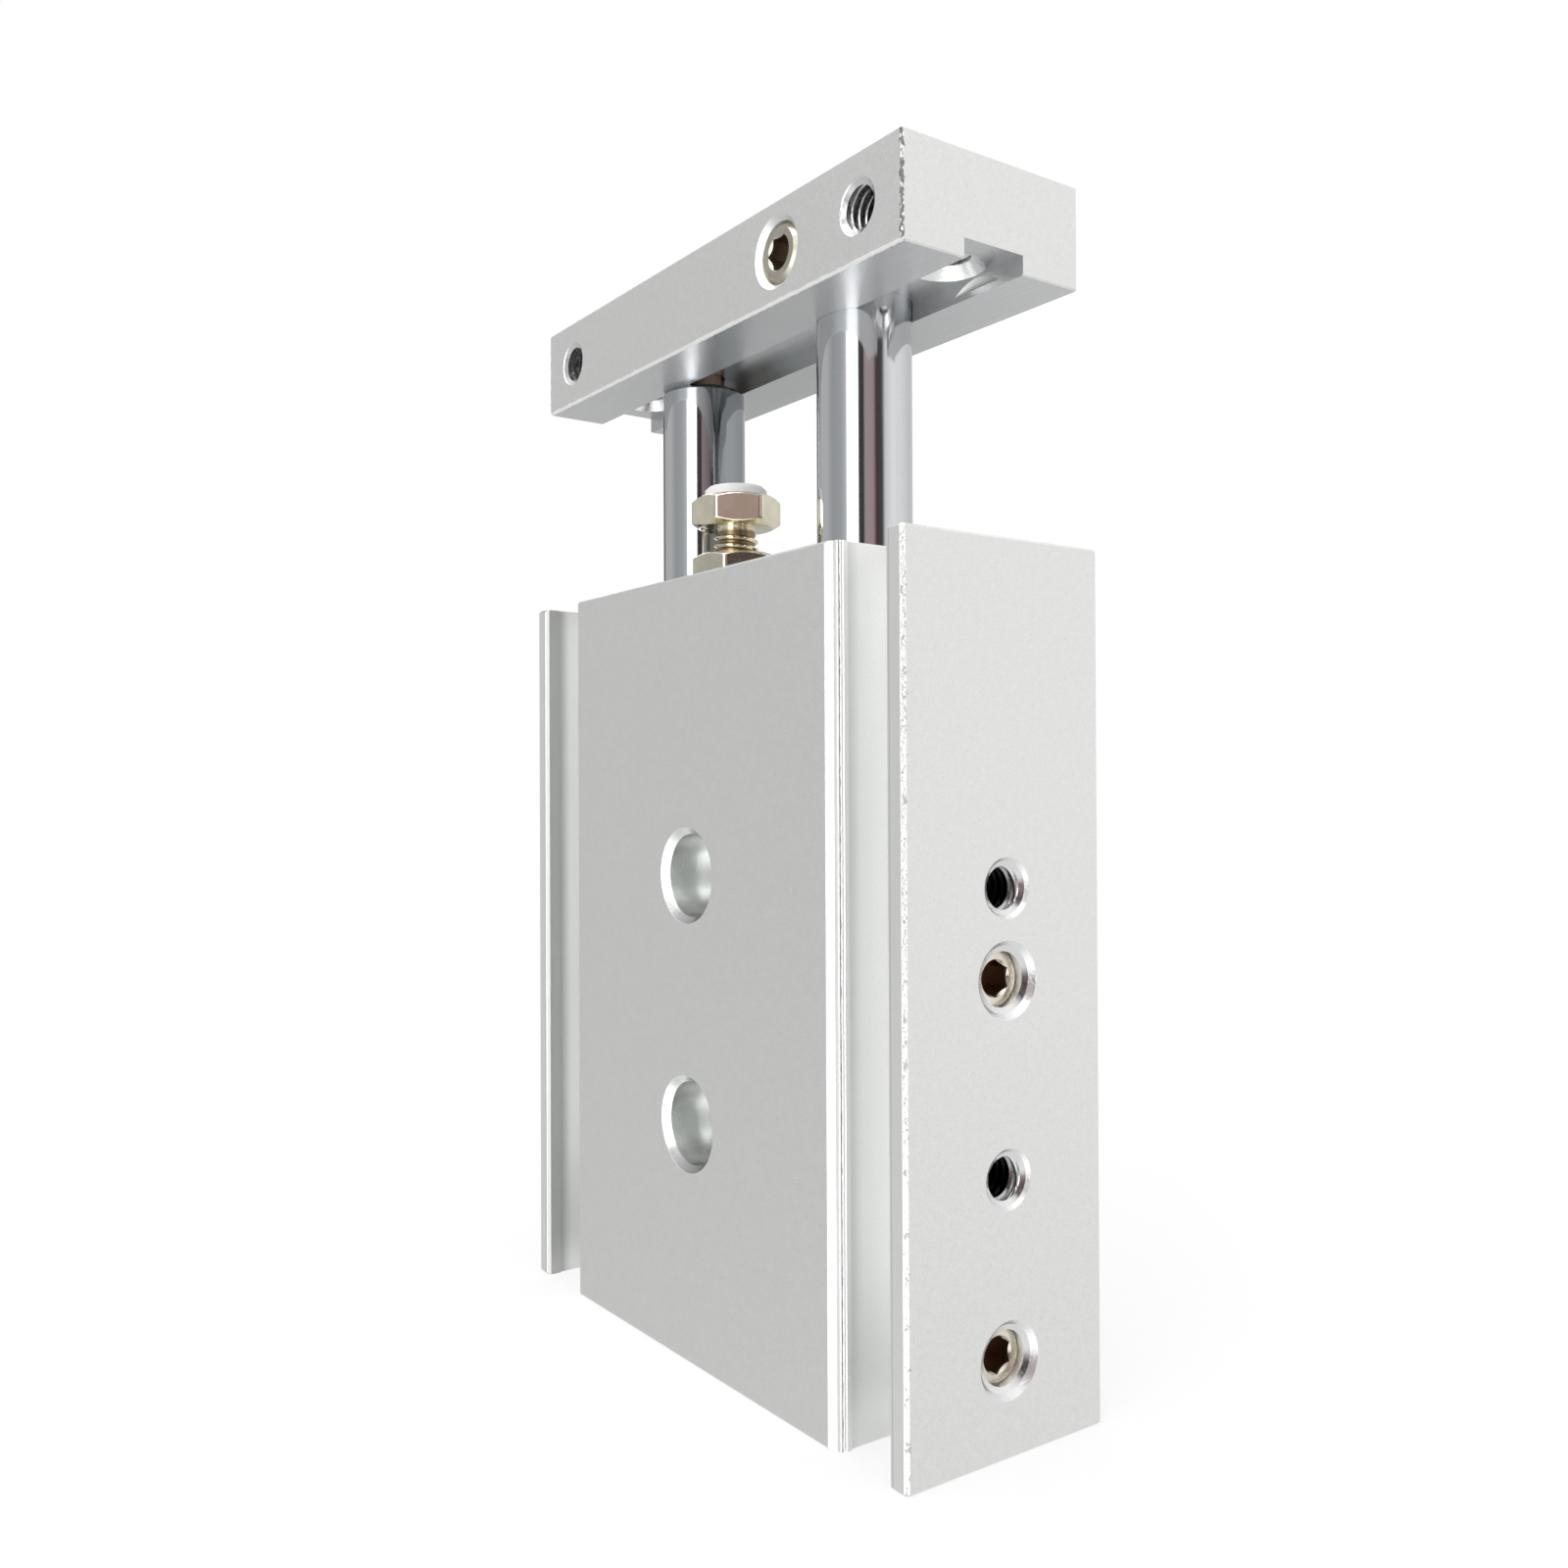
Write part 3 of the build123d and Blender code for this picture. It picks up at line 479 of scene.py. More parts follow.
def groove_zone(g, place):
    """Drawn walls of the switch grooves, with painted shade at the low end and near the mouth,
    more so on the left, and lighter on the pad's wall near the front."""
    parts = g.axes(place)
    across = inside(g, g.math("ABSOLUTE", parts["X"]), GROOVE_FROM, GROOVE_TO)
    mask = g.math("MULTIPLY", across, g.math("LESS_THAN", parts["Y"], GROOVE_FLOOR))
    drawn = g.noise(g.vector("MULTIPLY", place, (1.0, 1.0, 0.02)), GROOVE_LINES)
    deep = g.tint(drawn, colour(0.93, 0.942, 0.925), colour(0.97, 0.975, 0.965))
    # Painted shade towards the lower end of the walls.
    low_end_shade = g.between(parts["Z"], *GROOVE_LOW_END_SHADE, 1.0, 0.0)
    deep = g.tint(low_end_shade, deep, colour(0.83, 0.842, 0.825))
    # Painted shade near the mouth of the grooves, darker on the left, giving way to lighter wall deeper in
    # and on the pad's wall near the front.
    left = g.math("LESS_THAN", parts["X"], 0.0)
    mouth_shade = g.tint(left, colour(0.76, 0.775, 0.755), colour(0.50, 0.51, 0.495))
    clean_and_painted_light = g.between(parts["Y"], *GROOVE_MOUTH_SHADE)
    near_pad = g.math("LESS_THAN", g.math("ABSOLUTE", parts["X"]), GROOVE_MIDDLE)
    lip = g.math("MULTIPLY", near_pad, g.math("LESS_THAN", parts["Y"], GROOVE_LIP))
    clean_and_painted_light = g.math("MAXIMUM", clean_and_painted_light, g.math("MULTIPLY", lip, 0.7))
    return mask, g.tint(clean_and_painted_light, mouth_shade, deep), 0.30, 0.55


def pad_edge_zone(g, place):
    """Edges of the front pad: a painted shadow line along the step beside each groove, and a
    painted highlight along the left edge of the pad's front."""
    parts = g.axes(place)
    across = g.math("ABSOLUTE", parts["X"])
    beside = inside(g, across, PAD_EDGE_FROM, PAD_EDGE_TO)
    off_line = g.math("ABSOLUTE", g.math("SUBTRACT", parts["Y"], STEP_SHADOW_LINE))
    ragged = g.noise(g.vector("MULTIPLY", place, (1.0, 1.0, 0.25)), STEP_SHADOW_GRAIN, 2.0, 0.6)
    widths = [STEP_SHADOW_WIDTH * share for share in STEP_SHADOW_WIDTH_SHARES]
    width = g.between(ragged, 0.35, 0.7, *widths)
    at_corner = g.math("GREATER_THAN", across, PAD_CORNER)
    step_shadow = g.math("MULTIPLY", at_corner, g.math("LESS_THAN", off_line, width))
    left = g.math("LESS_THAN", parts["X"], 0.0)
    lip = g.math("MULTIPLY", left, g.math("LESS_THAN", parts["Y"], PAD_LIP))
    mask = g.math("MULTIPLY", beside, g.math("MAXIMUM", step_shadow, lip))
    # Painted shadow of the step in dark grey, painted highlight along the left edge in near white.
    tone = g.tint(step_shadow, grey(0.97), grey(0.15))
    return mask, tone, 0.34, g.blend(step_shadow, 0.25, 0.9)


def rib_zone(g, place):
    """Front faces of the ribs, cleaner than the broad face, with one drawn line along each, and the
    rougher chamfers of the left rib with painted shade on them."""
    parts = g.axes(place)
    across = g.math("ABSOLUTE", parts["X"])
    on_rib = g.math("GREATER_THAN", across, RIB_FROM)
    mask = g.math("MULTIPLY", on_rib, g.math("LESS_THAN", parts["Y"], RIB_FRONT))
    off_line = g.math("ABSOLUTE", g.math("SUBTRACT", across, RIB_LINE))
    line = g.between(off_line, RIB_LINE_WIDTH / 2, RIB_LINE_WIDTH, 1.0, 0.0)
    drawn = g.noise(g.vector("MULTIPLY", place, (1.0, 1.0, 0.03)), RIB_LINES)
    clean_and_painted_light = g.tint(drawn, colour(0.88, 0.885, 0.865), colour(0.93, 0.93, 0.915))
    clean_and_painted_light = g.tint(line, clean_and_painted_light, colour(0.70, 0.71, 0.70))
    left = g.math("LESS_THAN", parts["X"], 0.0)
    # Painted shade on the left rib's chamfers, which are also rougher.
    chamfer = inside(g, parts["Y"], RIB_FRONT, RIB_CHAMFER)
    dull_and_shaded_edge = g.math("MULTIPLY", g.math("MULTIPLY", left, chamfer), on_rib)
    clean_and_painted_light = g.tint(dull_and_shaded_edge, clean_and_painted_light, grey(0.36))
    return g.math("MAXIMUM", mask, dull_and_shaded_edge), clean_and_painted_light, g.blend(dull_and_shaded_edge, 0.38, 0.62), 0.88


def edge_highlight(low):
    """Painted highlight along the lower front edge of a box, as a rounded edge would catch the light."""
    def zone(g, place):
        offset = g.vector("MULTIPLY", g.vector("SUBTRACT", place, low), (0.0, 1.0, 1.0))
        distance = g.vector("LENGTH", offset, output="Value")
        ragged = g.noise(place, EDGE_HIGHLIGHT_GRAIN, 2.0, 0.6)
        widths = [EDGE_HIGHLIGHT_WIDTH * share for share in EDGE_HIGHLIGHT_WIDTH_SHARES]
        width = g.between(ragged, *NOISE_SPAN, *widths)
        mask = g.math("MULTIPLY", g.math("LESS_THAN", distance, width), 0.75)
        return mask, colour(0.86, 0.86, 0.85), 0.5, 0.2
    return zone


def counterbore_zone(mouth):
    """Smooth turned wall of a counterbore in the front or the back, and its chamfer, with painted
    shade on the chamfer's low side."""
    def zone(g, place):
        away = g.vector("ABSOLUTE", place)
        hole = g.effect(hole_zone, {
            "Vector": away, "Mouth": Vector((0.0, abs(mouth.y), mouth.z)),
            "Axis": (0.0, 1.0, 0.0), "Radius": COUNTERBORE_ZONE,
        })
        lines = g.noise(g.vector("MULTIPLY", place, (0.1, 1.0, 0.1)), COUNTERBORE_LINES)
        turned = g.tint(lines, colour(0.91, 0.935, 0.915), colour(0.96, 0.98, 0.965))
        in_chamfer = g.math("LESS_THAN", hole["Depth"], COUNTERBORE_CHAMFER)
        # Painted shade on the low side of the chamfer.
        heights = [mouth.z - below for below in COUNTERBORE_LOW_SIDE_SHADE]
        low_side_shade = g.between(g.axes(place)["Z"], *heights, 1.0, 0.0)
        turned = g.tint(g.math("MULTIPLY", in_chamfer, low_side_shade), turned, grey(0.46))
        return hole["Mask"], turned, g.blend(in_chamfer, 0.42, 0.26), g.blend(in_chamfer, 0.44, 0.90)
    return zone


def folded(g, place):
    """Place with the left half folded onto the right."""
    parts = g.axes(place)
    return g.add("ShaderNodeCombineXYZ", {0: g.math("ABSOLUTE", parts["X"]), 1: parts["Y"], 2: parts["Z"]})


def tapped_zone(mouth, axis, radius, rough, dark, reach):
    """Cut wall of a tapped hole in the right half and of its mirrored one, with painted shade deeper in."""
    def zone(g, place):
        inputs = {"Vector": folded(g, place), "Mouth": mouth, "Axis": axis, "Radius": radius}
        hole = g.effect(hole_zone, inputs)
        in_hole = g.math("MULTIPLY", hole["Mask"], inside(g, hole["Depth"], MOUTH_MARGIN, reach))
        unlit = g.between(hole["Depth"], *dark)
        return in_hole, g.tint(unlit, grey(0.88), DARK_HOLE), rough, 0.95
    return zone


def underside_zone(height, channel_floor):
    """Milled underside of the plate and its channel, smoother than the blasted faces, and darker
    in colour as painted shade under the plate.
    """
    def zone(g, place):
        parts = g.axes(place)
        low = g.math("LESS_THAN", parts["Z"], height + FACE_MARGIN)
        in_channel = g.math("LESS_THAN", parts["Z"], channel_floor + FACE_MARGIN)
        near_middle = g.math("LESS_THAN", g.math("ABSOLUTE", parts["Y"]), CHANNEL_HALF_WIDTH)
        mask = g.math("MAXIMUM", low, g.math("MULTIPLY", in_channel, near_middle))
        milled = g.noise(g.vector("MULTIPLY", place, (0.05, 1.0, 1.0)), MILLED_LINES)
        # Darker colour than the faces above, as painted shade under the plate.
        return mask, g.tint(milled, colour(0.52, 0.532, 0.537), colour(0.60, 0.612, 0.617)), 0.24, 0.80
    return zone


def bare_aluminium(name):
    """Turned aluminium of the covers and pistons."""
    material, g, shader = new_material(name, 1.0)
    place = g.place()
    lines = g.effect(turned_lines, {"Vector": place, "Scale": TURNED_LINES})["Height"]
    metal = g.tint(lines, colour(0.62, 0.63, 0.64), colour(0.78, 0.79, 0.80))
    g.feed(shader.inputs["Base Color"], metal)
    patches = g.noise(place, TURNED_PATCHES, 3.0)
    g.feed(shader.inputs["Roughness"], g.between(patches, *NOISE_SPAN, 0.24, 0.38))
    bump(g, shader, lines, TURNED_RELIEF, 0.5)
    return material


def machined_thread(name, face=None):
    """Bright cut metal of a thread in aluminium. With a face, given as a distance along X on both
    sides, painted shade darkens it with depth below that face."""
    material, g, shader = new_material(name, 1.0)
    place = g.place()
    lines = g.noise(place, THREAD_GRAIN, 3.0, 0.6)
    metal = g.tint(lines, colour(0.78, 0.79, 0.79), colour(0.94, 0.94, 0.93))
    if face is not None:
        depth = g.math("SUBTRACT", face, g.math("ABSOLUTE", g.axes(place)["X"]))
        metal = g.tint(g.between(depth, *HOLE_DARK), metal, DARK_HOLE)
    g.feed(shader.inputs["Base Color"], metal)
    g.feed(shader.inputs["Roughness"], g.between(lines, *NOISE_SPAN, 0.12, 0.24))
    bump(g, shader, lines, TURNED_RELIEF, 0.4)
    return material


def hard_chrome(name, shaded_side=None):
    """Ground and chromed rod: faint rings from grinding and a few long handling marks. A shaded side,
    given as (middle of the rod, radius), puts painted shade on the rod's flank towards +X."""
    material, g, shader = new_material(name, 1.0)
    place = g.place()
    rings = g.effect(turned_lines, {"Vector": place, "Scale": CHROME_RINGS})["Height"]
    marks = g.noise(g.vector("MULTIPLY", place, (1.0, 1.0, 0.05)), CHROME_MARKS)
    scuffs = g.between(marks, 0.62, 0.80)
    metal = g.tint(rings, colour(0.66, 0.67, 0.69), colour(0.72, 0.73, 0.74))
    if shaded_side:
        # Painted shade on the flank towards +X.
        middle, radius = shaded_side
        offset = g.vector("SUBTRACT", place, middle)
        share = g.math("DIVIDE", g.vector("DOT_PRODUCT", offset, SHADED_FLANK, output="Value"), radius)
        metal = g.tint(g.between(share, *SHADED_FLANK_SHARES), metal, colour(0.30, 0.32, 0.335))
    g.feed(shader.inputs["Base Color"], metal)
    g.feed(shader.inputs["Roughness"], g.blend(scuffs, g.between(rings, *NOISE_SPAN, 0.06, 0.10), 0.14))
    bump(g, shader, rings, CHROME_RELIEF, 0.4)
    return material


def nickel_steel(name, light, dark, low_rough, high_rough, sockets=()):
    """Warm, slightly champagne plated steel. The sockets are (mouth, axis, radius, colour) of the round
    places that get painted shade below their mouth."""
    material, g, shader = new_material(name, 1.0)
    place = g.place()
    cloud = g.noise(place, PLATED_CLOUD)
    metal = g.tint(g.between(cloud, 0.35, 0.65), light, dark)
    fine = g.noise(place, PLATED_GRAIN, 2.0, 0.6)
    rough = g.between(fine, *NOISE_SPAN, low_rough, high_rough)
    for mouth, axis, radius, inner in sockets:
        hole = g.effect(hole_zone, {"Vector": place, "Mouth": mouth, "Axis": axis, "Radius": radius})
        deep = g.math("MULTIPLY", hole["Mask"], g.between(hole["Depth"], *SOCKET_DARK))
        metal = g.tint(deep, metal, inner)
        rough = g.blend(deep, rough, 0.36)
    g.feed(shader.inputs["Base Color"], metal)
    g.feed(shader.inputs["Roughness"], rough)
    bump(g, shader, fine, PLATED_RELIEF, 0.3)
    return material


def moulded(name, light, dark, rough, scale, relief):
    """Moulded plastic or rubber with a fine grain."""
    material, g, shader = new_material(name, 0.0)
    place = g.place()
    grain = g.effect(fine_grain, {"Vector": place, "Scale": scale})
    g.feed(shader.inputs["Base Color"], g.tint(grain["Mottle"], dark, light))
    g.feed(shader.inputs["Roughness"], g.blend(grain["Mottle"], rough - 0.06, rough + 0.06))
    bump(g, shader, grain["Height"], relief, 0.5)
    return material


def sintered_metal(name, light, dark, rough, scale):
    """Bronze or phosphated steel: a metal with fine pores."""
    material, g, shader = new_material(name, 1.0)
    place = g.place()
    grain = g.effect(fine_grain, {"Vector": place, "Scale": scale})
    pores = g.effect(specks, {"Vector": place, "Scale": scale * 0.8, "Amount": 0.36})["Mask"]
    metal = g.tint(grain["Mottle"], dark, light)
    g.feed(shader.inputs["Base Color"], g.tint(g.math("MULTIPLY", pores, 0.6), metal, dark))
    g.feed(shader.inputs["Roughness"], g.blend(grain["Mottle"], rough - 0.08, rough + 0.08))
    bump(g, shader, grain["Height"], SINTERED_RELIEF, 0.5)
    return material


def socket_of(node, axis, places, inner):
    """Dark sockets of a screw node whose faces lie at its box's end along an axis."""
    low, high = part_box(node)
    found = []
    for place in places:
        mouth = Vector(place)
        for i in range(3):
            if abs(axis[i]) > 0.5:
                mouth[i] = high[i] if axis[i] > 0 else low[i]
        found.append((mouth, axis, SOCKET_RADIUS, inner))
    return found


plate_front_holes = mount_holes("plate_front_tapped")
port_heights = [mounts[name]["pos_m"][2] for name in ("air_port_rod_side", "air_port_head_side")]


def housing_finish():
    """Anodised housing with its grooves, ribs, pad edges, counterbores, tapped holes and ports."""
    zones = [groove_zone, rib_zone, pad_edge_zone]
    zones += [counterbore_zone(mouth) for mouth, _ in mount_holes("front_through_holes")]
    zones += [tapped_zone(mouth, RIGHT, *SIDE_WALL) for mouth, _ in mount_holes("side_tapped_right")]
    zones += [tapped_zone(Vector((cad_high.x, 0.0, z)), RIGHT, *PORT_WALL) for z in port_heights]
    return anodised_aluminium("anodised_housing", "housing", zones, *HOUSING_BURR)


def plate_finish():
    """Anodised end plate with its milled underside, painted highlight on its lower front edge and
    tapped holes.
    """
    low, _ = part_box("end_plate")
    channel_floor = low.z + CHANNEL_DEPTH
    hole, _ = plate_front_holes[0]
    zones = [
        underside_zone(low.z, channel_floor),
        edge_highlight(low),
        tapped_zone(Vector((abs(hole.x), hole.y, hole.z)), FRONT, *PLATE_FRONT_WALL),
        tapped_zone(Vector((abs(hole.x), 0.0, channel_floor)), DOWN, *PLATE_UNDER_WALL),
    ]
    return anodised_aluminium("anodised_plate", "end_plate", zones, *PLATE_BURR)


def left_rod_finish():
    """Chromed left rod with painted shade on its flank towards the right rod."""
    low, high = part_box("rod_left")
    return hard_chrome("left_chromed_rod", ((low + high) / 2, (high.y - low.y) / 2))


def plug_finish():
    """Plated plugs of the air ports with painted shade in their sockets."""
    sockets = socket_of("port_plugs", RIGHT, [(0.0, 0.0, z) for z in port_heights], DARK_SOCKET)
    return nickel_steel("plug_steel", *CREAM, 0.16, 0.28, sockets)


def set_screw_finish():
    """Olive plated set screw with painted shade, in brown, in its socket."""
    low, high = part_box("set_screw")
    sockets = socket_of("set_screw", FRONT, [(low + high) / 2], BROWN_SOCKET)
    return nickel_steel("set_screw_steel", *OLIVE, 0.14, 0.26, sockets)


def cap_screw_finish():
    """Plated cap screw, with painted shade in its socket and under its head."""
    low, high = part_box("cap_screw")
    middle = (low + high) / 2
    sockets = socket_of("cap_screw", UP, [middle], DARK_SOCKET)
    # Painted shade on the shank under the head.
    seat = Vector((middle.x, middle.y, high.z - CAP_HEAD_HEIGHT))
    sockets.append((seat, UP, CAP_SHANK_ZONE, DARK_SOCKET))
    return nickel_steel("cap_screw_steel", *CHAMPAGNE, 0.14, 0.26, sockets)


finishes = {
    "bare_aluminium": bare_aluminium("turned_aluminium"),
    "hard_chrome": hard_chrome("chromed_rod"),
    "nickel_steel": nickel_steel("plated_steel", *CHAMPAGNE, 0.12, 0.22),
    "spring_steel": sintered_metal("phosphated_steel", grey(0.22), grey(0.13), 0.42, PHOSPHATE_GRAIN),
    "bronze": sintered_metal("dry_bronze", *BRONZE, 0.40, BRONZE_GRAIN),
    "black_rubber": moulded("seal_rubber", grey(0.045), grey(0.02), 0.62, RUBBER_GRAIN, MOULDED_RELIEF),
    "white_urethane": moulded(
        "bumper_urethane", grey(0.86), grey(0.80), 0.42, URETHANE_GRAIN, URETHANE_RELIEF,
    ),
    "bonded_magnet": moulded("magnet_compound", grey(0.10), grey(0.05), 0.55, MAGNET_GRAIN, MOULDED_RELIEF),
}
own_finishes = {
    "housing": housing_finish(),
    "end_plate": plate_finish(),
    "rod_left": left_rod_finish(),
    "port_plugs": plug_finish(),
    "set_screw": set_screw_finish(),
    "cap_screw": cap_screw_finish(),
}


def dress(piece, material):
    piece.data.materials.clear()
    piece.data.materials.append(material)


for part in record["subparts"]:
    finish = own_finishes.get(part["node"], finishes.get(part["material_slot"]))
    dress(nodes[part["node"]], finish)


def join_rings(rings, closed_loop=False):
    """Faces between rings of equal length, each ring a closed loop."""
    count = len(rings[0])
    faces = []
    pairs = len(rings) if closed_loop else len(rings) - 1
    for i in range(pairs):
        a = i * count
        b = ((i + 1) % len(rings)) * count
        faces += [(a + j, a + (j + 1) % count, b + (j + 1) % count, b + j) for j in range(count)]
    return [point for ring in rings for point in ring], faces


def build_piece(name, parts, body, slot, material, sharp_angle):
    """One object from a list of (vertices, faces), with smooth shading between sharp edges."""
    vertices = []
    faces = []
    for points, quads in parts:
        offset = len(vertices)
        vertices += points
        faces += [[offset + index for index in quad] for quad in quads]
    mesh = bpy.data.meshes.new(name)
    mesh.from_pydata(vertices, [], faces)
    shape = bmesh.new()
    shape.from_mesh(mesh)
    bmesh.ops.recalc_face_normals(shape, faces=shape.faces)
    shape.to_mesh(mesh)
    shape.free()
    mesh.shade_smooth()
    mesh.set_sharp_from_angle(angle=sharp_angle)
    piece = bpy.data.objects.new(name, mesh)
    bpy.context.scene.collection.objects.link(piece)
    dress(piece, material)
    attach(piece, body)
    return piece


def below_mouth(mouth, axis):
    """Places in a hole or on a screw, as a function of radius, angle and depth below the mouth."""
    turn_to_axis = UP.rotation_difference(axis).to_matrix()

    def place(radius, angle, depth):
        point = Vector((radius * math.cos(angle), radius * math.sin(angle), -depth))
        return tuple(mouth + turn_to_axis @ point)
    return place


def thread_ridge(mouth, axis, foot, crest, pitch, start, end):
    """Helical ridge about an axis, from one depth to another below the mouth. Foot and crest are
    radii: a crest inside the foot makes a thread in a hole, and one outside it a thread on a screw."""
    place = below_mouth(mouth, axis)
    steps = max(THREAD_STEPS, round((end - start) / pitch * THREAD_STEPS))
    half_foot = pitch * RIDGE_FOOT_SHARE / 2
    half_crest = pitch * RIDGE_CREST_SHARE / 2
    sections = []
    for step in range(steps + 1):
        share = step / steps
        depth = start + half_foot + (end - start - 2 * half_foot) * share
        angle = 2 * math.pi * (end - start - 2 * half_foot) * share / pitch
        run_out = min(1.0, min(share, 1.0 - share) * steps / RUN_OUT_STEPS)
        tip = foot + (crest - foot) * run_out
        profile = ((foot, -half_foot), (tip, -half_crest), (tip, half_crest), (foot, half_foot))
        sections.append([place(radius, angle, depth + along) for radius, along in profile])
    points, quads = join_rings(sections)
    last = len(points)
    return points, quads + [(3, 2, 1, 0), (last - 4, last - 3, last - 2, last - 1)]


def countersink(mouth, axis, wall, crest, start):
    """Conical mouth ring of a thread, from the hole's wall down to the crest of the thread."""
    place = below_mouth(mouth, axis)
    profile = ((wall, start), (crest, start + COUNTERSINK_DEPTH), (wall, start + COUNTERSINK_RUN))
    angles = [2 * math.pi * step / THREAD_STEPS for step in range(THREAD_STEPS)]
    rings = [[place(radius, angle, depth) for angle in angles] for radius, depth in profile]
    return join_rings(rings, closed_loop=True)


def tapped_thread(name, holes, radius, ridge, pitch, chamfer, end, body, material):
    """Countersunk mouths and thread ridges in several holes, as one piece."""
    foot = radius + RIDGE_ROOTED
    crest = radius - ridge
    begin = chamfer + COUNTERSINK_DEPTH
    parts = [thread_ridge(mouth, axis, foot, crest, pitch, begin, end) for mouth, axis in holes]
    parts += [countersink(mouth, axis, foot, crest, chamfer - RIDGE_ROOTED) for mouth, axis in holes]
    return build_piece(name, parts, body, "anodised_aluminium", material, THREAD_SHARP_ANGLE)


def add_threads():
    """Threads of all tapped holes and air ports. The plugged ports end at their plugs."""
    side_thread = machined_thread("side_thread", cad_high.x)
    plain_thread = machined_thread("plate_thread")
    for side in ("left", "right"):
        holes = mount_holes(f"side_tapped_{side}")
        tapped_thread(f"mount_threads_{side}", holes, *M4_THREAD, *SIDE_DEPTHS, "housing", side_thread)
    holes = plate_front_holes
    tapped_thread("plate_front_threads", holes, *M4_THREAD, *PLATE_FRONT_DEPTHS, "slide", plain_thread)
    holes = mount_holes("plate_top_tapped")
    tapped_thread("plate_top_threads", holes, *M4_THREAD, *PLATE_TOP_DEPTHS, "slide", plain_thread)
    holes = [(Vector((cad_low.x, 0.0, z)), LEFT) for z in port_heights]
    tapped_thread("open_port_threads", holes, *M5_THREAD, *OPEN_PORT_DEPTHS, "housing", side_thread)
    holes = [(Vector((cad_high.x, 0.0, z)), RIGHT) for z in port_heights]
    depths = (OPEN_PORT_DEPTHS[0], cad_high.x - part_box("port_plugs")[1].x)
    tapped_thread("plugged_port_threads", holes, *M5_THREAD, *depths, "housing", plain_thread)


def hex_radius(angle, across_flats, turn):
    """Distance from the middle of a hexagon with rounded corners to its outline. A corner lies at the
    angle of the turn."""
    from_corner = abs((angle - turn + math.pi / 6) % (math.pi / 3) - math.pi / 6)
    middle = (across_flats / 2 - HEX_CORNER_RADIUS) / math.cos(math.pi / 6)
    if from_corner < ROUNDED_ANGLE:
        rest = math.sqrt(HEX_CORNER_RADIUS ** 2 - (middle * math.sin(from_corner)) ** 2)
        return middle * math.cos(from_corner) + rest
    return across_flats / 2 / math.cos(math.pi / 6 - from_corner)


def hex_angles():
    """Angles of the points round a hexagon, close together on its rounded corners."""
    angles = []
    flat_span = math.pi / 3 - 2 * ROUNDED_ANGLE
    for corner in range(6):
        at = corner * math.pi / 3
        angles += [at + share * ROUNDED_ANGLE for share in CORNER_SHARES]
        angles += [at + ROUNDED_ANGLE + share * flat_span for share in FLAT_SHARES]
    return angles


HEX_ANGLES = hex_angles()


def ring_points(x, y, z_of, radius_of, turn):
    """Closed ring of points about an upright axis, with more points on the corners of the hexagon."""
    points = []
    for step in HEX_ANGLES:
        angle = turn + step
        radius = radius_of(angle)
        points.append((x + radius * math.cos(angle), y + radius * math.sin(angle), z_of(angle)))
    return points


def hex_body(x, y, low, high, across_flats, turn, bore):
    """Rings of a bevelled hexagon from its lower bore edge, up the outside, to its upper face."""
    flat = across_flats / 2

    def outline(angle):
        return hex_radius(angle, across_flats, turn)

    def drop(angle):
        return (outline(angle) - flat * FLAT_ROUND_SHARE) * math.tan(HEX_BEVEL)

    def level(z):
        return lambda angle: z

    def fixed(radius):
        return lambda angle: radius

    return [
        ring_points(x, y, level(low), fixed(bore), turn),
        ring_points(x, y, level(low), fixed(flat * FLAT_ROUND_SHARE), turn),
        ring_points(x, y, lambda angle: low + drop(angle), outline, turn),
        ring_points(x, y, lambda angle: high - drop(angle), outline, turn),
        ring_points(x, y, level(high), fixed(flat * FLAT_ROUND_SHARE), turn),
    ]


def soften(piece):
    """Small bevel along the sharp edges of a piece."""
    bevel = piece.modifiers.new("broken_edges", "BEVEL")
    bevel.width = HEX_SMALL_BEVEL
    bevel.segments = 2
    bevel.limit_method = "ANGLE"
    bevel.angle_limit = HEX_BEVEL_FROM
    bevel.harden_normals = False


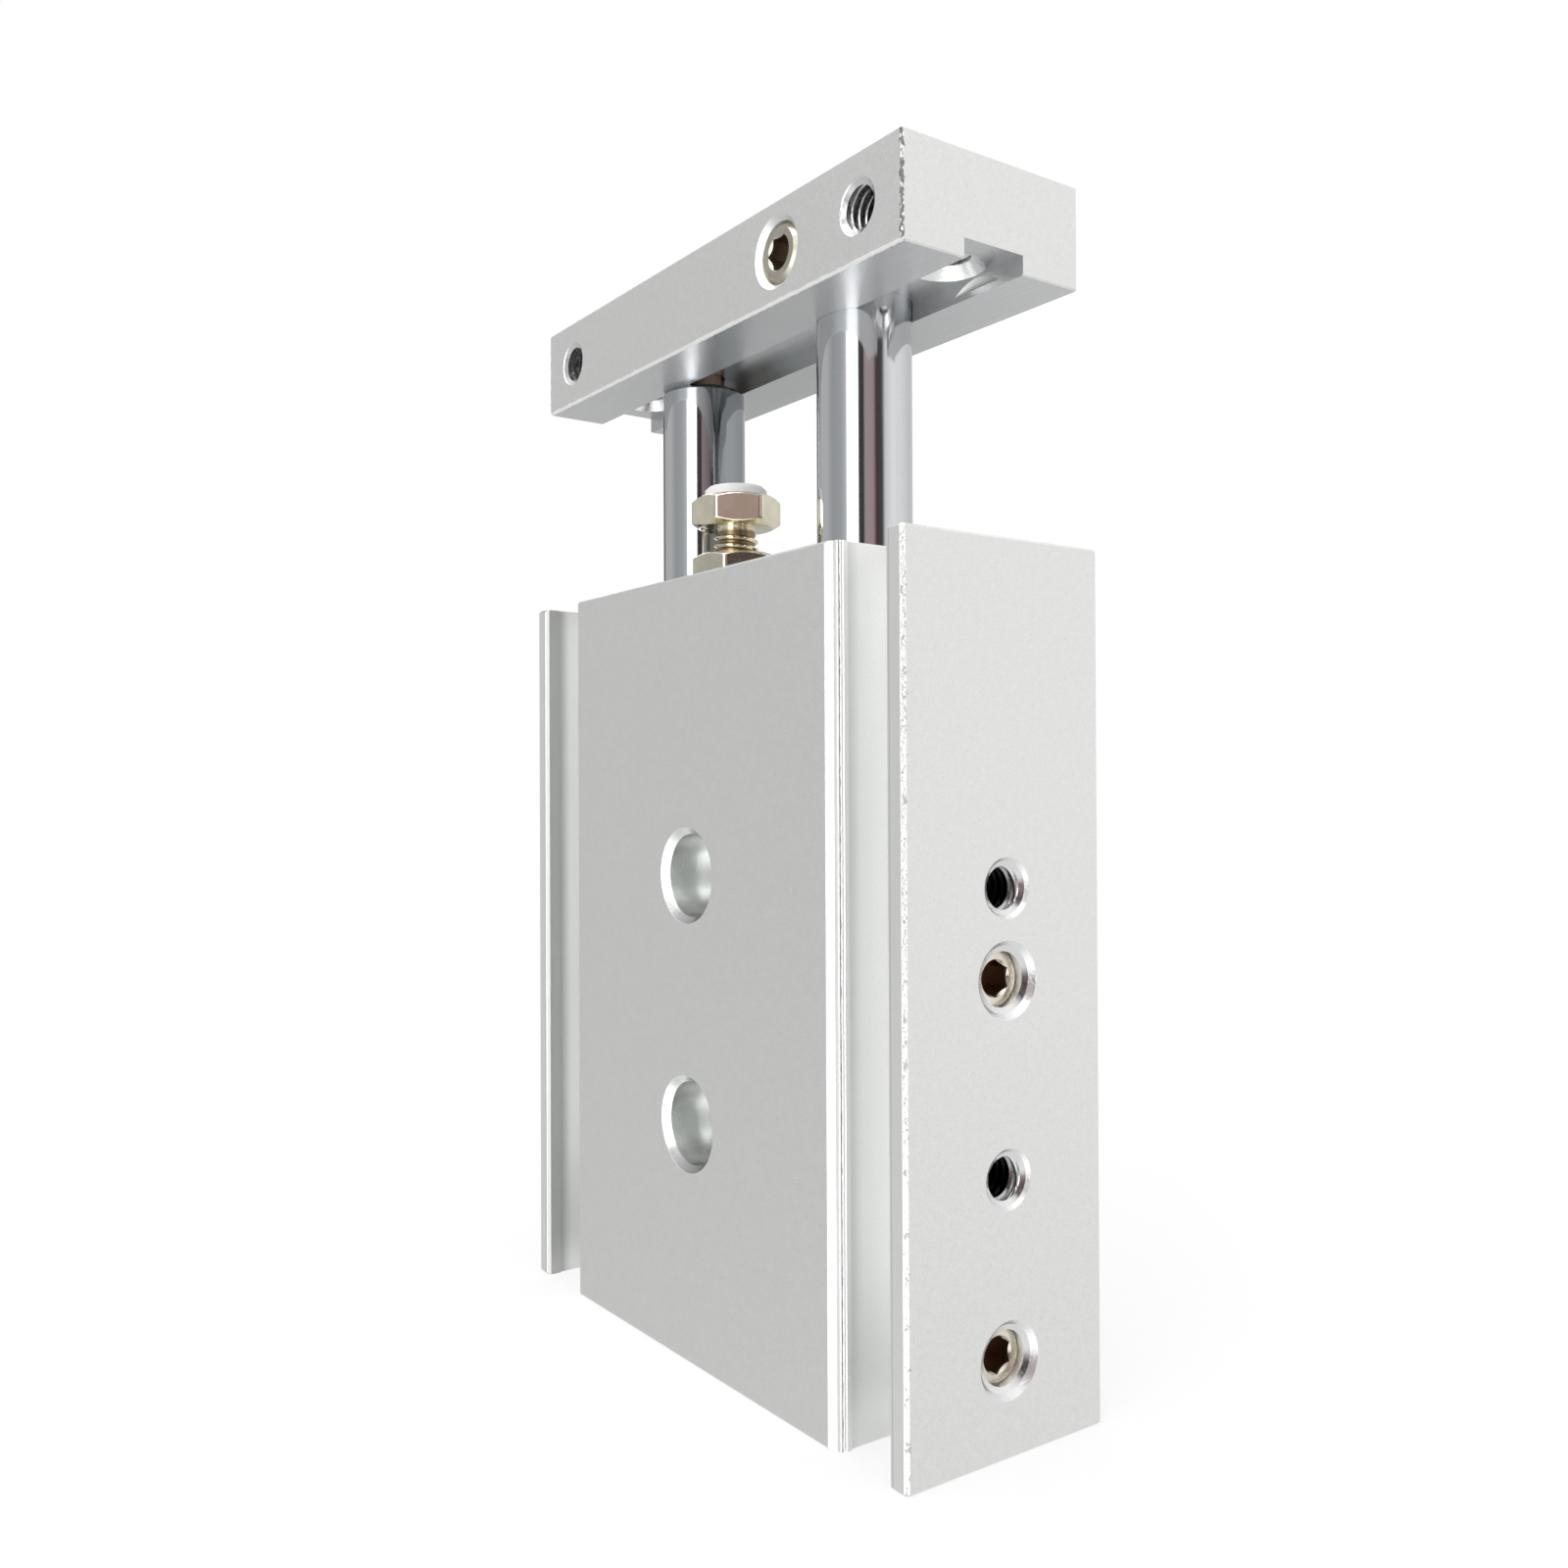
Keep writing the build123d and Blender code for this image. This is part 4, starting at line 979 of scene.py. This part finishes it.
def add_adjuster():
    """Adjusting bolt with a cut thread and its lock nut, in place of the plain ones."""
    low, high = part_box("bumper_bolt")
    x = (low.x + high.x) / 2
    y = (low.y + high.y) / 2
    head_low = high.z - HEAD_HEIGHT
    root = (Vector((x, y, head_low)), UP, ROOT_RADIUS, THREAD_ROOT)
    steel = nickel_steel("champagne_steel", *CHAMPAGNE, 0.12, 0.20, [root])

    def round_ring(radius, z, turn=0.0):
        return ring_points(x, y, lambda angle: z, lambda angle: radius, turn)

    head = hex_body(x, y, head_low, high.z, HEAD_ACROSS_FLATS, 0.0, BOLT_CORE_RADIUS)
    head.append(round_ring(BUMPER_HOLE_RADIUS, high.z))
    head.append(round_ring(BUMPER_HOLE_RADIUS, high.z - BUMPER_HOLE_DEPTH))
    points, quads = join_rings([round_ring(BOLT_CORE_RADIUS, low.z)] + head)
    count = len(HEX_ANGLES)
    floor_cap = tuple(range(len(points) - count, len(points)))
    foot_cap = tuple(reversed(range(count)))
    bolt = (points, quads + [foot_cap, floor_cap])
    thread = thread_ridge(
        Vector((x, y, head_low)), UP,
        BOLT_CORE_RADIUS - RIDGE_ROOTED, BOLT_RADIUS, M4_PITCH, BOLT_THREAD_START, head_low - low.z,
    )
    look = ("nickel_steel", steel, HEX_SHARP_ANGLE)
    head_piece = build_piece("adjusting_bolt", [bolt], "bumper_bolt", *look)
    soften(head_piece)
    build_piece("adjusting_bolt_thread", [thread], "bumper_bolt", *look)
    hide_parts("bumper_bolt")

    nut_low, nut_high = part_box("lock_nut")
    rings = hex_body(x, y, nut_low.z, nut_high.z, HEAD_ACROSS_FLATS, NUT_TURN, NUT_BORE_RADIUS)
    rings.append(round_ring(NUT_BORE_RADIUS, nut_high.z, NUT_TURN))
    ring = join_rings(rings, closed_loop=True)
    nut = build_piece("hex_lock_nut", [ring], "lock_nut", *look)
    soften(nut)
    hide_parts("lock_nut")


add_threads()
add_adjuster()


def place_camera():
    yaw = math.radians(CAMERA_YAW)
    pitch = math.radians(CAMERA_PITCH)
    roll = math.radians(CAMERA_ROLL)
    ahead = Vector((-math.sin(yaw) * math.cos(pitch), math.cos(yaw) * math.cos(pitch), math.sin(pitch)))
    level_right = Vector((math.cos(yaw), math.sin(yaw), 0.0))
    level_up = level_right.cross(ahead)
    right = level_right * math.cos(roll) + level_up * math.sin(roll)
    up = level_up * math.cos(roll) - level_right * math.sin(roll)
    camera = bpy.data.cameras.new("camera")
    camera.lens = CAMERA_LENS
    camera.sensor_width = SENSOR_WIDTH
    camera.clip_start = 0.005
    camera.clip_end = 20.0
    holder = bpy.data.objects.new("camera", camera)
    turn = Matrix((right, up, -ahead)).transposed().to_4x4()
    holder.matrix_world = Matrix.Translation(CAMERA_PLACE) @ turn
    bpy.context.scene.collection.objects.link(holder)
    bpy.context.scene.camera = holder


# Tones of the studio round the object, by the angle from the camera's side, in degrees
STUDIO_TONES = (
    (-180, grey(0.50)),
    (-170, grey(0.58)),
    (-163, grey(0.07)),
    (-150, grey(0.07)),
    (-143, grey(0.45)),
    (-125, grey(0.54)),
    (-105, grey(0.55)),
    (-84, colour(0.38, 0.40, 0.41)),
    (-62, colour(0.43, 0.45, 0.46)),
    (-48, grey(0.60)),
    (-42, grey(3.0)),
    (-20, grey(3.0)),
    (-17, grey(0.06)),
    (-6, colour(0.05, 0.04, 0.045)),
    (-2, colour(0.42, 0.33, 0.34)),
    (17, colour(0.40, 0.31, 0.32)),
    (25, colour(0.08, 0.05, 0.05)),
    (40, grey(0.08)),
    (47, grey(0.75)),
    (66, grey(0.98)),
    (95, grey(0.90)),
    (130, grey(0.70)),
    (166, grey(0.66)),
    (180, grey(0.50)),
)
TONES_BELOW = (
    (-180, grey(0.50)),
    (-169, grey(0.90)),
    (-150, grey(0.60)),
    (-125, grey(0.56)),
    (-90, grey(0.62)),
    (-62, grey(1.3)),
    (-46, grey(1.5)),
    (-41, grey(2.4)),
    (-21, grey(2.4)),
    (-16, grey(1.3)),
    (0, grey(1.1)),
    (30, grey(0.84)),
    (50, grey(0.76)),
    (110, grey(0.76)),
    (150, grey(0.82)),
    (169, grey(0.90)),
    (180, grey(0.50)),
)
CEILING = grey(1.0)


def tones_around(g, around, tones):
    """Tones by the angle from the camera's side."""
    return g.ramp(around, [((angle + 180) / 360, value) for angle, value in tones])


def light_studio():
    """Soft room round the object, white behind it for the camera."""
    world = bpy.data.worlds.new("studio")
    bpy.context.scene.world = world
    world.use_nodes = True
    g = Graph(world.node_tree)
    direction = g.add("ShaderNodeTexCoord", output="Generated")
    parts = g.axes(direction)
    azimuth = g.math("ARCTAN2", parts["Y"], parts["X"])
    camera_side = math.radians(CAMERA_YAW - 90.0)
    turned = g.math("DIVIDE", g.math("SUBTRACT", azimuth, camera_side), 2 * math.pi)
    around = g.math("FRACT", g.math("ADD", turned, 0.5))
    tone = tones_around(g, around, STUDIO_TONES)
    below = tones_around(g, around, TONES_BELOW)
    room = g.tint(g.between(parts["Z"], *CEILING_HEIGHTS), tone, CEILING)
    room = g.tint(g.between(parts["Z"], *LOWER_HEIGHTS, 1.0, 0.0), room, below)
    seen = g.add("ShaderNodeLightPath", output="Is Camera Ray")
    background = world.node_tree.nodes["Background"]
    g.feed(background.inputs["Color"], g.tint(seen, room, grey(1.0)))
    background.inputs["Strength"].default_value = 1.0


def softbox(name, place, target, side, power):
    """Square area light that points from its place at a target."""
    light = bpy.data.lights.new(name, "AREA")
    light.shape = "SQUARE"
    light.size = side
    light.energy = power
    holder = bpy.data.objects.new(name, light)
    holder.location = place
    holder.rotation_euler = (Vector(target) - Vector(place)).to_track_quat("-Z", "Y").to_euler()
    bpy.context.scene.collection.objects.link(holder)


def lay_floor():
    """Pale floor that keeps a soft shadow near the object and fades into the white background."""
    mesh = bpy.data.meshes.new("floor")
    shape = bmesh.new()
    bmesh.ops.create_grid(shape, x_segments=8, y_segments=8, size=FLOOR_HALF_SIDE)
    shape.to_mesh(mesh)
    shape.free()
    floor = bpy.data.objects.new("floor", mesh)
    bpy.context.scene.collection.objects.link(floor)
    material, g, shader = new_material("pale_floor", 0.0)
    shader.inputs["Roughness"].default_value = 0.8
    paper = g.noise(g.place(), PAPER_GRAIN)
    g.feed(shader.inputs["Base Color"], g.tint(paper, grey(0.80), grey(0.84)))
    white = g.tree.nodes.new("ShaderNodeEmission")
    white.inputs["Color"].default_value = grey(1.0)
    distance = g.vector("LENGTH", g.place(), output="Value")
    seen = g.add("ShaderNodeLightPath", output="Is Camera Ray")
    mirrored = g.add("ShaderNodeLightPath", output="Is Glossy Ray")
    share = g.math("MULTIPLY", seen, g.between(distance, *FLOOR_FADE, 0.75, 1.0))
    paper_white = g.add("ShaderNodeMixShader", {0: share, 1: shader.outputs[0], 2: white.outputs[0]})
    clear = g.tree.nodes.new("ShaderNodeBsdfTransparent")
    mixed = g.add("ShaderNodeMixShader", {0: mirrored, 1: paper_white, 2: clear.outputs[0]})
    output = g.tree.nodes["Material Output"]
    g.feed(output.inputs["Surface"], mixed)
    dress(floor, material)


place_camera()
light_studio()
lay_floor()
softbox("overhead_softbox", SOFTBOX_PLACE, SOFTBOX_TARGET, SOFTBOX_SIDE, SOFTBOX_POWER)
bpy.context.scene.view_settings.view_transform = "Standard"
